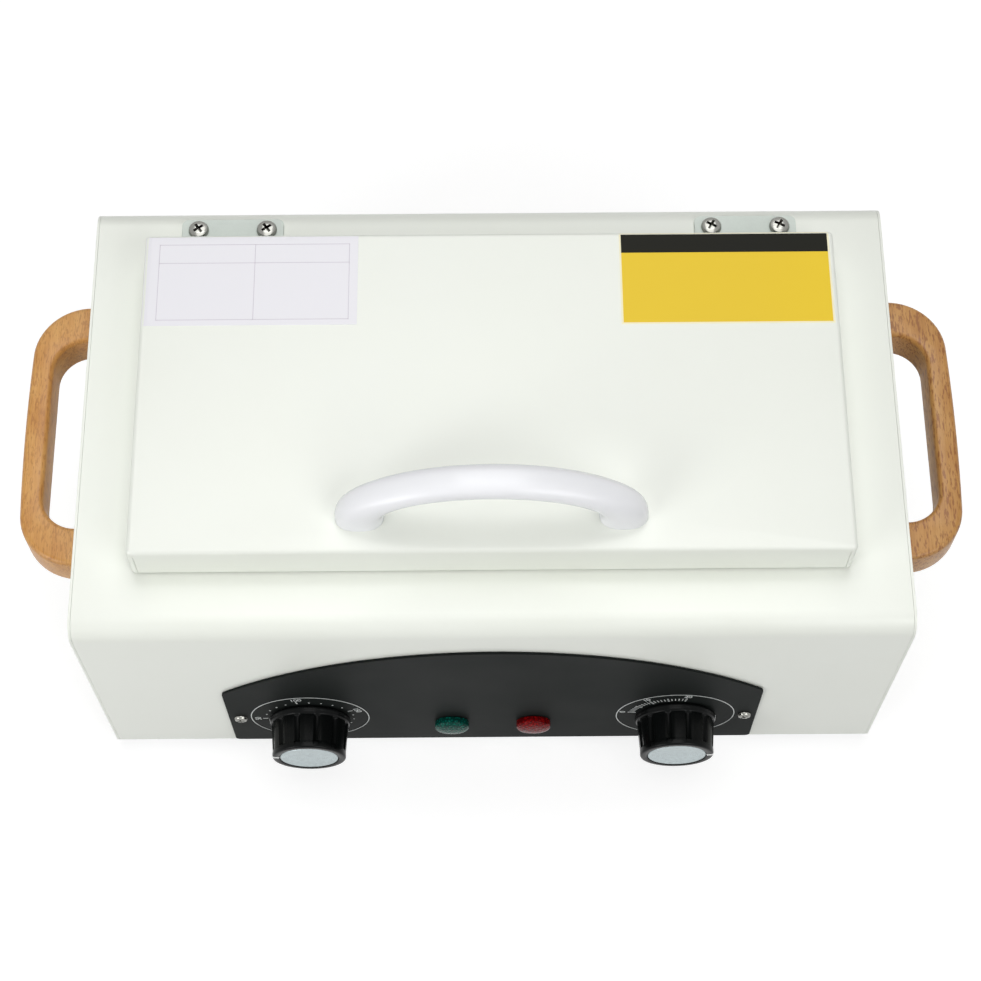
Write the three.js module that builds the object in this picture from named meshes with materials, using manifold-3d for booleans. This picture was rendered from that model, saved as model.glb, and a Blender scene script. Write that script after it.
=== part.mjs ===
// Dry heat sterilizer: a small bench oven with a hinged lid, two turning controls and a lift-out tray
// Lengths are millimetres, Z is up, the front faces -Y, and the origin is on the bench under the middle

import * as THREE from 'three';
import { mergeVertices } from 'three/addons/utils/BufferGeometryUtils.js';
import Module from 'manifold-3d';

const wasm = await Module();
wasm.setup();

// Fits: air on a seat, air round a pin or screw, and how far a cutter runs past its work
const seat = 0.2;
const slip = 0.3;
const overrun = 2;

// Cabinet
const caseWidth = 310;
const caseDepth = 181;
const caseHeight = 121;
const sheet = 1;
const bendRadius = 8;
const sideLip = 12;
const baseLip = 9;
const controlBay = 49;

// Feet and base screws
const footHeight = 8;
const footRadius = 9;
const footTaper = 1.2;
const footInset = 26;
const footNeckRadius = 3;
const footBarb = 1.4;
const footBarbHeight = 2.4;
const baseScrewRadius = 1.75;
const baseScrewHead = 3.3;
const baseScrewHeadHeight = 2;
const baseScrewLength = 8;
const baseScrewInset = 40;

// Vent slots in the base and the back
const ventLength = 34;
const ventWidth = 3.6;
const ventPitch = 9;
const ventRows = 3;
const baseVentSpread = 62;
const backVentSpread = 24;
const backVentBottom = 14;

// Lid
const lidSetback = 24.3;
const hingeStrip = 23.6;
const lidMargin = 22.65;
const lidFlange = 17.5;
const lidGap = 1;
const lidBend = 1.6;
const lidCorner = 1.8;
const lidSeam = 0.5;
const lidLinerLip = 11;
const lidLinerGap = 0.4;
const lidEmbossInset = 22;
const lidEmbossHeight = 2;

// Hinges
const hingeSpread = 101;
const hingeLength = 40;
const hingePin = 1.5;
const knuckleRadius = 3;
const knuckleCount = 5;
const leafThickness = 1.2;
const leafReach = 14;
const leafEdge = 5.1;
const lidLeafRise = 12;
const hingeScrewSpread = 13.4;
const hingeScrewRadius = 2;
const hingeScrewHead = 4;
const hingeScrewHeadHeight = 2.2;
const hingeScrewLength = 8;

// Chamber, tray and bails
const linerWall = 1;
const linerFlange = 5;
const linerCorner = 9;
const linerEdge = 4;
const linerMargin = 1.35;
const trayGap = 6;
const trayHeight = 30;
const trayWall = 0.8;
const trayCorner = 7;
const trayEdge = 3;
const trayRim = 2.4;
const traySlotLength = 30;
const traySlotWidth = 4;
const traySlotColumns = 4;
const traySlotRows = 3;
const traySlotMargin = 12;
const bailWire = 1.5;
const bailInset = 5;
const bailDrop = 5;
const bailFloorGap = 3.5;
const bailSideGap = 1.6;
const bailTail = 2.6;

// Heater, its clamp and the wool round the chamber
const heaterRadius = 3.25;
const heaterBend = 14;
const heaterRunInset = 30;
const heaterLeadDrop = 24;
const heaterLeadSpread = 14;
const heaterLeadInset = 12;
const clampThickness = 1;
const clampMargin = 14;
const woolFloor = 8;
const woolWall = 12;

// Control plate and its screws
const plateThickness = 1;
const plateHalfWidth = 105.5;
const plateBottom = 2.8;
const plateShoulder = 58.4;
const plateCrown = 101.8;
const plateCorner = 2;
const plateScrewInset = 4.8;
const plateScrewRadius = 1.4;
const plateScrewHead = 2.7;
const plateScrewHeadHeight = 1.5;
const plateScrewLength = 9;
const screwRecessWidth = 0.9;
const screwRecessDepth = 1;

// Knobs, shafts, thermostat and timer
const dialInset = 32.5;
const dialHeight = 30.5;
const knobReach = 18.5;
const knobStandoff = 0.8;
const skirtRadius = 16.5;
const skirtHeight = 1.2;
const skirtBevel = 1.4;
const gripRadius = 15.3;
const gripTaper = 0.7;
const fluteCount = 12;
const fluteDepth = 0.9;
const fluteRunout = 0.7;
const gripBand = 2.4;
const rimChamfer = 1;
const knobWall = 2;
const knobHub = 5.5;
const knobHollow = 8;
const capRadius = 11.6;
const capThickness = 1;
const capEdge = 0.4;
const shaftRadius = 3;
const shaftFlat = 1.8;
const shaftInside = 12;
const shaftInKnob = 12;
const bushRadius = 4.6;
const controlWidth = 44;
const controlHeight = 34;
const controlDepth = 22;
const bracketWidth = 50;
const bracketInset = 1;
const bracketCorner = 2;
const bracketThickness = 1.2;
const timerBellRadius = 15;
const timerBellDepth = 6;
const capillaryRadius = 1;
const capillaryBend = 6;
const bulbRadius = 3;
const bulbLength = 70;

// Lamps
const lampSpread = 16.4;
const lampHeight = 24;
const lensRadius = 6.85;
const lensReach = 3.4;
const lensWall = 1.2;
const lensEdge = 0.9;
const lensCrown = 0.7;
const lampBarrel = 4.6;
const lampBulb = 2.6;
const lampBulbReach = 2.2;
const lampLength = 18;
const lampNut = 7;
const lampNutThickness = 2.4;

// Side handles and their bolts
const handleReach = 26.6;
const handleHalfLength = 55.7;
const handleGapHalfLength = 40.2;
const handleGapReach = 17.4;
const handleThickness = 17;
const handleRise = 91.5;
const handleSetback = 1.8;
const handleCorner = 22;
const handleGapCorner = 13;
const handleCrown = 0.8;
const handleEdge = 2.2;
const handleBoltRadius = 2.5;
const handleBoltHead = 4.6;
const handleBoltHeadHeight = 3;
const handleBoltDepth = 13;

// Bow handle and its screws
const bowHalfSpan = 48;
const bowRise = 28.6;
const bowSetback = 14.6;
const bowThickness = 8.8;
const bowWidth = 12.6;
const bowFootThickness = 18;
const bowFootWidth = 12.8;
const bowScrewRadius = 2;
const bowScrewHead = 3.9;
const bowScrewHeadHeight = 2;
const bowScrewDepth = 6;

// Cord gland and terminal block
const glandReach = 9;
const glandBore = 4;
const glandFlange = 10;
const glandFlangeThickness = 3;
const glandNose = 6.4;
const glandBody = 7;
const glandInside = 8;
const glandBarb = 1;
const glandInset = 59;
const glandHeight = 22;
const terminalWidth = 34;
const terminalDepth = 18;
const terminalHeight = 14;
const terminalWays = 3;
const terminalWell = 2.6;
const terminalWellDepth = 6;
const terminalInset = 34;

// How finely round shapes are divided
const bendSteps = 5;
const archParts = 4;
const edgeSteps = 3;
const cornerSteps = 2;
const roundSides = 24;
const smallSides = 12;
const holeSides = 8;
const wireSides = 6;
const bowSteps = 16;
const bowSides = 12;

// Shares of a turn and of a shape's own size
const quarterTurn = Math.PI / 2;
const slotNoseShare = 0.3;
const fluteLandShare = 0.5;
const fluteFlankShare = 0.06;
const bowSwellShare = 8;
const bowSquarenessShare = 0.8;

// Places that follow from the sizes, in the cabinet's frame: y = 0 is its front, z = 0 its lower edge
const lidWidth = caseWidth - 2 * lidMargin;
const lidDepth = caseDepth - lidSetback - hingeStrip;
const lidBack = caseDepth - hingeStrip;
const lidMiddle = (lidSetback + lidBack) / 2;
const lidBottom = caseHeight + lidGap;
const lidTop = lidBottom + lidFlange;
const hingeY = lidBack + seat + knuckleRadius;
const hingeZ = caseHeight + seat + knuckleRadius;
const flangeWidth = lidWidth - 2 * (sheet + linerMargin);
const flangeDepth = lidDepth - 2 * (sheet + linerMargin);
const chamberWidth = flangeWidth - 2 * (linerFlange + linerWall);
const chamberLength = flangeDepth - 2 * (linerFlange + linerWall);
const heaterSpace = 2 * heaterRadius + clampThickness + 3 * seat;
const flangeTop = caseHeight + seat + linerWall;
const linerBottom = controlBay + woolFloor + heaterSpace;
const chamberFloor = linerBottom + linerWall;
const plateFace = seat + plateThickness;
const plateScrewSpread = plateHalfWidth - plateScrewInset;
const dialSpread = plateHalfWidth - dialInset;
const glandSide = caseWidth / 2 - glandInset;
const handleMiddle = lidMiddle + handleSetback;

// Geometry to solid: shared corners are merged, empty triangles dropped and faces turned outwards
function toSolid(geometry) {
  const bare = geometry.clone();
  bare.deleteAttribute('normal');
  bare.deleteAttribute('uv');
  const merged = mergeVertices(bare);
  const places = merged.attributes.position.array;
  const corners = [];
  for (let i = 0; i < merged.index.count; i += 3) {
    const [a, b, c] = [0, 1, 2].map((step) => merged.index.getX(i + step));
    if (a !== b && b !== c && c !== a) corners.push(a, b, c);
  }
  if (signedVolume(places, corners) < 0) corners.reverse();
  const [vertProperties, triVerts] = [Float32Array.from(places), Uint32Array.from(corners)];
  return new wasm.Manifold(new wasm.Mesh({ numProp: 3, vertProperties, triVerts }));
}

// Volume inside a triangle mesh, negative where its faces point inwards
function signedVolume(places, corners) {
  let volume = 0;
  for (let i = 0; i < corners.length; i += 3) {
    const [a, b, c] = [0, 1, 2].map((step) => new THREE.Vector3().fromArray(places, 3 * corners[i + step]));
    volume += a.dot(b.cross(c));
  }
  return volume;
}

// Solid back to geometry
function toGeometry(solid) {
  const mesh = solid.getMesh();
  const geometry = new THREE.BufferGeometry();
  geometry.setAttribute('position', new THREE.BufferAttribute(Float32Array.from(mesh.vertProperties), 3));
  geometry.setIndex(Array.from(mesh.triVerts));
  return geometry;
}

function join(first, ...others) {
  return toGeometry(others.reduce((whole, other) => whole.add(toSolid(other)), toSolid(first)));
}

function cut(first, ...others) {
  return toGeometry(others.reduce((whole, other) => whole.subtract(toSolid(other)), toSolid(first)));
}

// Box between its lowest and its highest corner
function box(low, high) {
  const size = high.map((value, axis) => value - low[axis]);
  const middle = high.map((value, axis) => (value + low[axis]) / 2);
  return new THREE.BoxGeometry(...size).translate(...middle);
}

// Round bar that stands up from low to high
function bar(radius, low, high, sides = smallSides) {
  const height = high - low;
  const geometry = new THREE.CylinderGeometry(radius, radius, height, sides);
  return geometry.rotateX(quarterTurn).translate(0, 0, low + height / 2);
}

// The same bar laid along X or along Y
function barAcross(radius, left, right, sides = smallSides) {
  return bar(radius, left, right, sides).rotateY(quarterTurn);
}

function barForward(radius, front, back, sides = smallSides) {
  return bar(radius, front, back, sides).rotateX(-quarterTurn);
}

// Body turned round the vertical, from a profile of [radius, height] pairs
function turned(profile, sides = roundSides) {
  const points = profile.map(([radius, height]) => new THREE.Vector2(radius, height));
  return new THREE.LatheGeometry(points, sides).rotateX(quarterTurn);
}

// Outline in X and Y, run up from low to high, with its edges rounded over where a radius is given
function upright(outline, low, high, edge = 0, steps = cornerSteps) {
  const options = { depth: high - low - 2 * edge, curveSegments: steps, bevelEnabled: edge > 0 };
  const rounding = { bevelThickness: edge, bevelSize: edge, bevelOffset: -edge, bevelSegments: steps };
  return new THREE.ExtrudeGeometry(outline, { ...options, ...rounding }).translate(0, 0, low + edge);
}

// Outline in Y and Z, run along X from left to right
function across(outline, left, right, steps = cornerSteps) {
  const axes = [new THREE.Vector3(0, 1, 0), new THREE.Vector3(0, 0, 1), new THREE.Vector3(1, 0, 0)];
  const turn = new THREE.Matrix4().makeBasis(...axes);
  return upright(outline, left, right, 0, steps).applyMatrix4(turn);
}

// Outline in X and Z, run along Y from front to back
function forward(outline, front, back, steps = cornerSteps) {
  return upright(outline, -back, -front, 0, steps).rotateX(quarterTurn);
}

// Rectangle with round corners, its middle on the origin
function roundedRectangle(width, depth, radius) {
  const shape = new THREE.Shape();
  const [right, back] = [width / 2 - radius, depth / 2 - radius];
  shape.absarc(right, back, radius, 0, quarterTurn);
  shape.absarc(-right, back, radius, quarterTurn, 2 * quarterTurn);
  shape.absarc(-right, -back, radius, 2 * quarterTurn, 3 * quarterTurn);
  shape.absarc(right, -back, radius, 3 * quarterTurn, 4 * quarterTurn);
  return shape;
}

// Closed skin over rings that all have the same number of points, with a flat lid on each end
function lofted(rings) {
  const count = rings[0].length;
  const middles = [rings[0], rings[rings.length - 1]].map((ring) => {
    const sum = ring.reduce((total, point) => total.add(point), new THREE.Vector3());
    return sum.divideScalar(count);
  });
  const places = [...rings.flat(), ...middles].flatMap((point) => point.toArray());
  const corners = [];
  const [under, over] = [rings.length * count, rings.length * count + 1];
  const last = (rings.length - 1) * count;
  for (let i = 0; i < count; i += 1) {
    const next = (i + 1) % count;
    for (let row = 0; row < last; row += count) {
      corners.push(row + i, row + next, row + count + i);
      corners.push(row + next, row + count + next, row + count + i);
    }
    corners.push(next, i, under);
    corners.push(last + i, last + next, over);
  }
  const geometry = new THREE.BufferGeometry();
  geometry.setAttribute('position', new THREE.Float32BufferAttribute(places, 3));
  geometry.setIndex(corners);
  return geometry;
}

// Pressed pan standing on z = 0, solid inside, with round corners and a round lower edge
function pressedPan(width, depth, height, corner, edge) {
  const rings = [];
  for (let step = 0; step <= cornerSteps; step += 1) {
    const angle = (quarterTurn * step) / cornerSteps;
    const inset = edge * (1 - Math.sin(angle));
    const outline = roundedRectangle(width - 2 * inset, depth - 2 * inset, corner - inset);
    const rise = edge * (1 - Math.cos(angle));
    rings.push(outline.getPoints(cornerSteps).map((point) => new THREE.Vector3(point.x, point.y, rise)));
  }
  rings.push(rings[cornerSteps].map((point) => new THREE.Vector3(point.x, point.y, height)));
  return lofted(rings);
}

// Path that runs through given stations, so that a straight stretch needs one at each end only
class StationPath extends THREE.Curve {
  constructor(stations) {
    super();
    this.stations = stations;
  }

  getPointAt(share, target = new THREE.Vector3()) {
    return target.copy(this.stations[Math.round(share * (this.stations.length - 1))]);
  }

  getTangentAt(share, target = new THREE.Vector3()) {
    const index = Math.round(share * (this.stations.length - 1));
    const ahead = this.stations[Math.min(index + 1, this.stations.length - 1)];
    const behind = this.stations[Math.max(index - 1, 0)];
    const [into, out] = [this.stations[index].clone().sub(behind), ahead.clone().sub(this.stations[index])];
    return target.copy(into.normalize().add(out.normalize())).normalize();
  }
}

// Wire or tube through a list of corners, each corner rounded by a bend
function bentTube(corners, radius, bend) {
  const stations = [corners[0]];
  for (let i = 1; i < corners.length - 1; i += 1) {
    const before = corners[i].clone().add(corners[i - 1].clone().sub(corners[i]).setLength(bend));
    const after = corners[i].clone().add(corners[i + 1].clone().sub(corners[i]).setLength(bend));
    stations.push(...new THREE.QuadraticBezierCurve3(before, corners[i], after).getPoints(edgeSteps));
  }
  stations.push(corners[corners.length - 1]);
  const section = new THREE.Shape();
  section.absarc(0, 0, radius, 0, 4 * quarterTurn);
  const extrudePath = new StationPath(stations);
  const options = { extrudePath, steps: stations.length - 1, curveSegments: wireSides / 2 };
  return new THREE.ExtrudeGeometry(section, options);
}

// Cross recess that a screwdriver fits, as a cutter that reaches down from the head's top
function crossRecess(headRadius, top) {
  const [long, short] = [headRadius / 2 + screwRecessWidth / 4, screwRecessWidth / 2];
  const [low, high] = [top - screwRecessDepth, top + overrun];
  const lengthwise = box([-long, -short, low], [long, short, high]);
  return join(lengthwise, box([-short, -long, low], [short, long, high]));
}

// Pan-head screw that stands head up on z = 0, with its shank below
function panHeadScrew(head, headHeight, radius, length) {
  const profile = [[0, -length], [radius, radius - length], [radius, 0], [head, 0], [head, headHeight / 3]];
  profile.push([(head * 3) / 4, headHeight], [0, headHeight]);
  return turned(profile, smallSides);
}

// The same screw where it shows, with its cross recess
function crossHeadScrew(head, headHeight, radius, length) {
  return cut(panHeadScrew(head, headHeight, radius, length), crossRecess(head, headHeight));
}

// Outline of a punched slot along X, with its ends drawn as three flats
function slotOutline(length, width) {
  const bevel = width * slotNoseShare;
  const [end, side] = [length / 2, width / 2];
  const [shoulder, nose] = [end - side + bevel, side - bevel];
  const corners = [[end, -nose], [end, nose], [shoulder, side], [-shoulder, side]];
  corners.push([-end, nose], [-end, -nose], [-shoulder, -side], [shoulder, -side]);
  return new THREE.Shape(corners.map((corner) => new THREE.Vector2(...corner)));
}

// Finishes, with colour, roughness and metalness
const finishes = {
  whitePaint: { color: 0xf0f4ec, roughness: 0.42, metalness: 0 },
  handlePlastic: { color: 0xf3f4f8, roughness: 0.25, metalness: 0 },
  beech: { color: 0xc48c58, roughness: 0.5, metalness: 0 },
  plateBlack: { color: 0x2d3232, roughness: 0.55, metalness: 0 },
  knobBlack: { color: 0x141515, roughness: 0.3, metalness: 0 },
  spunAluminium: { color: 0xbec8cd, roughness: 0.35, metalness: 1 },
  nickel: { color: 0xc9c8c2, roughness: 0.25, metalness: 1 },
  stainless: { color: 0xb9bbbb, roughness: 0.35, metalness: 1 },
  galvanised: { color: 0xa9adad, roughness: 0.5, metalness: 1 },
  greenLens: { color: 0x146e5a, roughness: 0.15, metalness: 0 },
  redLens: { color: 0xa51919, roughness: 0.15, metalness: 0 },
  rubber: { color: 0x1c1c1c, roughness: 0.8, metalness: 0 },
  darkPlastic: { color: 0x202224, roughness: 0.6, metalness: 0 },
  palePlastic: { color: 0xd8d2c0, roughness: 0.6, metalness: 0 },
  mineralWool: { color: 0xb9ab7c, roughness: 1, metalness: 0 },
  copper: { color: 0xb87350, roughness: 0.4, metalness: 1 },
};

// Named piece of the object, placed by its position
function piece(name, geometry, finish, x = 0, y = 0, z = 0) {
  const body = toGeometry(toSolid(geometry));
  body.computeVertexNormals();
  const material = new THREE.MeshStandardMaterial({ ...finishes[finish], flatShading: true });
  const mesh = new THREE.Mesh(body, material);
  mesh.name = name;
  mesh.position.set(x, y, z);
  return mesh;
}

// Side view of the cabinet in Y and Z, drawn a given depth inside its outer faces
function cabinetOutline(inset, floor = inset) {
  const shape = new THREE.Shape();
  const shoulder = caseHeight - bendRadius;
  shape.moveTo(inset, floor);
  shape.lineTo(inset, shoulder);
  shape.absarc(bendRadius, shoulder, bendRadius - inset, 2 * quarterTurn, quarterTurn, true);
  shape.absarc(caseDepth - bendRadius, shoulder, bendRadius - inset, quarterTurn, 0, true);
  shape.lineTo(caseDepth - inset, floor);
  return shape;
}

// Places of the vent slots, as [column, row] offsets round the middle of a field
function ventPlaces(spread) {
  const places = [];
  for (const side of [-1, 1]) {
    for (let row = 0; row < ventRows; row += 1) places.push([side * spread, row * ventPitch]);
  }
  return places;
}

// Cover: one sheet up the front, over the top and down the back, pierced for what it carries
function makeCover() {
  const edge = caseWidth / 2 - sheet - slip;
  const skin = across(cabinetOutline(0), -edge, edge, bendSteps);
  const hollow = across(cabinetOutline(sheet, -overrun), -edge - overrun, edge + overrun, bendSteps);
  const mouth = roundedRectangle(
    chamberWidth + 2 * (linerWall + slip), chamberLength + 2 * (linerWall + slip), linerCorner + slip);
  const cutters = [upright(mouth, -overrun, 2 * overrun).translate(0, lidMiddle, caseHeight - overrun)];
  for (const side of [-1, 1]) {
    const front = [-overrun, sheet + overrun];
    cutters.push(barForward(bushRadius + slip, ...front).translate(side * dialSpread, 0, dialHeight));
    cutters.push(barForward(lampBarrel + slip, ...front).translate(side * lampSpread, 0, lampHeight));
    const pilot = barForward(plateScrewRadius + slip, ...front, holeSides);
    cutters.push(pilot.translate(side * plateScrewSpread, 0, dialHeight));
    for (const step of [-1, 1]) {
      const x = side * hingeSpread + step * hingeScrewSpread;
      const hole = bar(hingeScrewRadius + slip, -sheet - overrun, overrun, holeSides);
      cutters.push(hole.translate(x, hingeY + leafReach - leafEdge, caseHeight));
    }
  }
  const rear = [caseDepth - sheet - overrun, caseDepth + overrun];
  cutters.push(barForward(glandBody + slip, ...rear).translate(glandSide, 0, glandHeight));
  for (const [x, z] of ventPlaces(backVentSpread)) {
    cutters.push(forward(slotOutline(ventLength, ventWidth), ...rear).translate(x, 0, backVentBottom + z));
  }
  return cut(skin, hollow, ...cutters);
}

// Side panel, drawn for the right side with x = 0 on its outer face: a sheet with a lip all round
function makeSidePanel() {
  const face = across(cabinetOutline(0), -sheet, 0, bendSteps);
  const rim = across(cabinetOutline(sheet + seat), -sheet - sideLip, -sheet / 2);
  const inside = across(cabinetOutline(2 * sheet + seat), -sheet - sideLip - overrun, -sheet);
  const holes = [-1, 1].map((step) => {
    const hole = barAcross(handleBoltRadius + slip, -sheet - overrun, overrun, holeSides);
    return hole.translate(0, handleMiddle + step * handleBoltSpread, handleRise);
  });
  const screwHoles = [baseScrewInset, caseDepth - baseScrewInset].map((y) => {
    const hole = bar(baseScrewRadius + slip, 0, 3 * sheet + overrun, holeSides);
    return hole.translate(-sheet - sideLip / 2, y, 0);
  });
  return cut(join(face, cut(rim, inside)), ...holes, ...screwHoles);
}

// Base: a sheet between the side panels with a lip up the front and the back, and vent slots
const basePlateHalf = caseWidth / 2 - sheet - seat;
const baseLipHalf = caseWidth / 2 - sheet - sideLip - slip;
const footPlaces = [];
for (const x of [footInset - caseWidth / 2, caseWidth / 2 - footInset]) {
  for (const y of [footInset, caseDepth - footInset]) footPlaces.push([x, y]);
}
const baseScrewPlaces = [];
for (const side of [-1, 1]) {
  const x = side * (caseWidth / 2 - sheet - sideLip / 2);
  for (const y of [baseScrewInset, caseDepth - baseScrewInset]) baseScrewPlaces.push([x, y]);
}

function makeBasePlate() {
  const [front, back] = [sheet + seat, caseDepth - sheet - seat];
  const plate = box([-basePlateHalf, front, 0], [basePlateHalf, back, sheet]);
  const frontLip = box([-baseLipHalf, front, 0], [baseLipHalf, front + sheet, sheet + baseLip]);
  const backLip = box([-baseLipHalf, back - sheet, 0], [baseLipHalf, back, sheet + baseLip]);
  const cutters = [];
  const through = [-overrun, sheet + overrun];
  const punch = (radius, places) => {
    for (const [x, y] of places) cutters.push(bar(radius + slip, ...through, holeSides).translate(x, y, 0));
  };
  punch(footNeckRadius, footPlaces);
  punch(baseScrewRadius, baseScrewPlaces);
  const firstRow = (caseDepth - (ventRows - 1) * ventPitch) / 2;
  for (const [x, y] of ventPlaces(baseVentSpread)) {
    cutters.push(upright(slotOutline(ventLength, ventWidth), ...through).translate(x, firstRow + y, 0));
  }
  return cut(join(plate, frontLip, backLip), ...cutters);
}

// Rubber foot, pushed through the base from below and held by its barb
function makeFoot() {
  const barbLow = footHeight + sheet + seat;
  const barb = footNeckRadius + footBarb;
  const profile = [[0, 0], [footRadius - 2 * footTaper, 0], [footRadius - footTaper, footTaper]];
  profile.push([footRadius, footHeight - seat], [footNeckRadius, footHeight - seat]);
  profile.push([footNeckRadius, barbLow], [barb, barbLow], [footNeckRadius, barbLow + footBarbHeight]);
  profile.push([0, barbLow + footBarbHeight]);
  return turned(profile, smallSides);
}

// Base screw, put in from below: its head stands down from z = 0 and its shank goes up
function makeBaseScrew() {
  const screw = panHeadScrew(baseScrewHead, baseScrewHeadHeight, baseScrewRadius, baseScrewLength);
  return screw.rotateX(2 * quarterTurn);
}

// Chamber liner: a pressed tub whose flange lies on the cover, standing on z = 0
const linerHeight = flangeTop - linerBottom;

function makeChamberLiner() {
  const [width, length] = [chamberWidth + 2 * linerWall, chamberLength + 2 * linerWall];
  const tub = pressedPan(width, length, linerHeight, linerCorner, linerEdge);
  const flangeOutline = roundedRectangle(flangeWidth, flangeDepth, linerCorner);
  const flange = upright(flangeOutline, linerHeight - linerWall, linerHeight);
  const [corner, edge] = [linerCorner - linerWall, linerEdge - linerWall];
  const hollow = pressedPan(chamberWidth, chamberLength, linerHeight + overrun, corner, edge);
  return cut(join(tub, flange), hollow.translate(0, 0, linerWall));
}

// Tray: a shallow pan with a rim turned out, slots in its floor and eyes for the two bails
const trayWidth = chamberWidth - 2 * trayGap;
const trayLength = chamberLength - 2 * trayGap;
const bailPivotX = trayWidth / 2 - trayWall - bailInset;
const bailPivotZ = trayHeight - bailDrop;

function makeTray() {
  const pan = pressedPan(trayWidth, trayLength, trayHeight, trayCorner, trayEdge);
  const [rimWidth, rimLength] = [trayWidth + 2 * trayRim, trayLength + 2 * trayRim];
  const rimOutline = roundedRectangle(rimWidth, rimLength, trayCorner + trayRim);
  const rim = upright(rimOutline, trayHeight - trayWall, trayHeight);
  const [width, length] = [trayWidth - 2 * trayWall, trayLength - 2 * trayWall];
  const [corner, edge] = [trayCorner - trayWall, trayEdge - trayWall];
  const hollow = pressedPan(width, length, trayHeight + overrun, corner, edge).translate(0, 0, trayWall);
  const cutters = [];
  const columnPitch = (trayWidth - 2 * traySlotMargin) / traySlotColumns;
  const rowPitch = (trayLength - 2 * traySlotMargin) / traySlotRows;
  for (let column = 0; column < traySlotColumns; column += 1) {
    for (let row = 0; row < traySlotRows; row += 1) {
      const x = (column - (traySlotColumns - 1) / 2) * columnPitch;
      const y = (row - (traySlotRows - 1) / 2) * rowPitch;
      const slot = upright(slotOutline(traySlotLength, traySlotWidth), -overrun, trayWall + overrun);
      cutters.push(slot.translate(x, y, 0));
    }
  }
  for (const side of [-1, 1]) {
    const eye = barForward(bailWire + slip, -trayLength / 2 - overrun, trayLength / 2 + overrun);
    cutters.push(eye.translate(side * bailPivotX, 0, bailPivotZ));
  }
  return cut(join(pan, rim), hollow, ...cutters);
}

// Bail: a bent wire that hangs from its two ends, which pass out through the eyes; z = 0 is its axis
function makeBail() {
  const leg = trayLength / 2 - trayWall - bailSideGap - bailWire;
  const tail = trayLength / 2 + bailTail;
  const drop = bailPivotZ - trayWall - bailFloorGap - bailWire;
  const corners = [[-tail, 0], [-leg, 0], [-leg, -drop], [leg, -drop], [leg, 0], [tail, 0]];
  return bentTube(corners.map(([y, z]) => new THREE.Vector3(0, y, z)), bailWire, bailSideGap + bailWire);
}

// Heater: a sheathed tube in three loops under the tub, both ends turned down at the back
function makeHeater() {
  const [right, back] = [chamberWidth / 2 - heaterRunInset, chamberLength / 2 - heaterRunInset];
  const lead = chamberLength / 2 - heaterLeadInset;
  const corners = [[-heaterLeadSpread, lead, -heaterLeadDrop], [-heaterLeadSpread, lead, 0]];
  corners.push([-right, lead, 0], [-right, -back, 0], [-right / 3, -back, 0], [-right / 3, back / 2, 0]);
  corners.push([right / 3, back / 2, 0], [right / 3, -back, 0], [right, -back, 0], [right, lead, 0]);
  corners.push([heaterLeadSpread, lead, 0], [heaterLeadSpread, lead, -heaterLeadDrop]);
  const points = corners.map((corner) => new THREE.Vector3(...corner));
  return bentTube(points, heaterRadius, heaterBend);
}

// Window that both ends of the heater go down through
function heaterLeadOpening(low, high) {
  const [wide, deep] = [heaterLeadSpread + heaterBend + heaterRadius + slip, heaterRadius + slip];
  const lead = chamberLength / 2 - heaterLeadInset;
  return box([-wide, lead - deep, low], [wide, lead + deep, high]);
}

// Clamp plate that holds the heater up against the tub, open where the heater's ends go down
function makeHeaterClamp() {
  const [width, length] = [chamberWidth - 2 * clampMargin, chamberLength - clampMargin];
  const plate = upright(roundedRectangle(width, length, linerCorner), 0, clampThickness);
  return cut(plate, heaterLeadOpening(-overrun, clampThickness + overrun));
}

// Wool block round the tub, with a channel for the bulb and holes for the heater's ends
const woolTop = caseHeight - sheet - seat;
const bulbY = lidMiddle - chamberLength / 2 - linerWall - slip - bulbRadius;
const bulbZ = chamberFloor + linerEdge + bulbRadius;

function makeWool() {
  const [width, length] = [chamberWidth + 2 * (linerWall + slip), chamberLength + 2 * (linerWall + slip)];
  const outline = roundedRectangle(width + 2 * woolWall, length + 2 * woolWall, linerCorner + woolWall);
  const block = upright(outline, controlBay, woolTop);
  const pocketOutline = roundedRectangle(width, length, linerCorner);
  const pocket = upright(pocketOutline, controlBay + woolFloor, woolTop + overrun);
  const leads = heaterLeadOpening(controlBay - overrun, controlBay + woolFloor + overrun);
  const room = bulbRadius + slip;
  const groove = box(
    [-dialSpread - room, bulbY - lidMiddle - room, controlBay - overrun],
    [bulbLength - dialSpread + 2 * room, bulbY - lidMiddle + 2 * room, bulbZ + room]);
  return cut(block, pocket, leads, groove);
}

// Control plate: straight sides, round lower corners and an arched top
function plateOutline() {
  const rise = plateCrown - plateShoulder;
  const archRadius = (plateHalfWidth ** 2 + rise ** 2) / (2 * rise);
  const centre = plateCrown - archRadius;
  const start = Math.asin((plateShoulder - centre) / archRadius) + plateCorner / archRadius;
  const shape = new THREE.Shape();
  const [side, low] = [plateHalfWidth - plateCorner, plateBottom + plateCorner];
  shape.absarc(side, low, plateCorner, -quarterTurn, 0);
  shape.lineTo(plateHalfWidth, plateShoulder - plateCorner);
  const shoulder = [archRadius * Math.cos(start), centre + archRadius * Math.sin(start)];
  shape.quadraticCurveTo(plateHalfWidth, plateShoulder, ...shoulder);
  const part = (2 * quarterTurn - 2 * start) / archParts;
  for (let i = 0; i < archParts; i += 1) {
    shape.absarc(0, centre, archRadius, start + i * part, start + (i + 1) * part);
  }
  shape.quadraticCurveTo(-plateHalfWidth, plateShoulder, -plateHalfWidth, plateShoulder - plateCorner);
  shape.absarc(-side, low, plateCorner, 2 * quarterTurn, 3 * quarterTurn);
  return shape;
}

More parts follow.
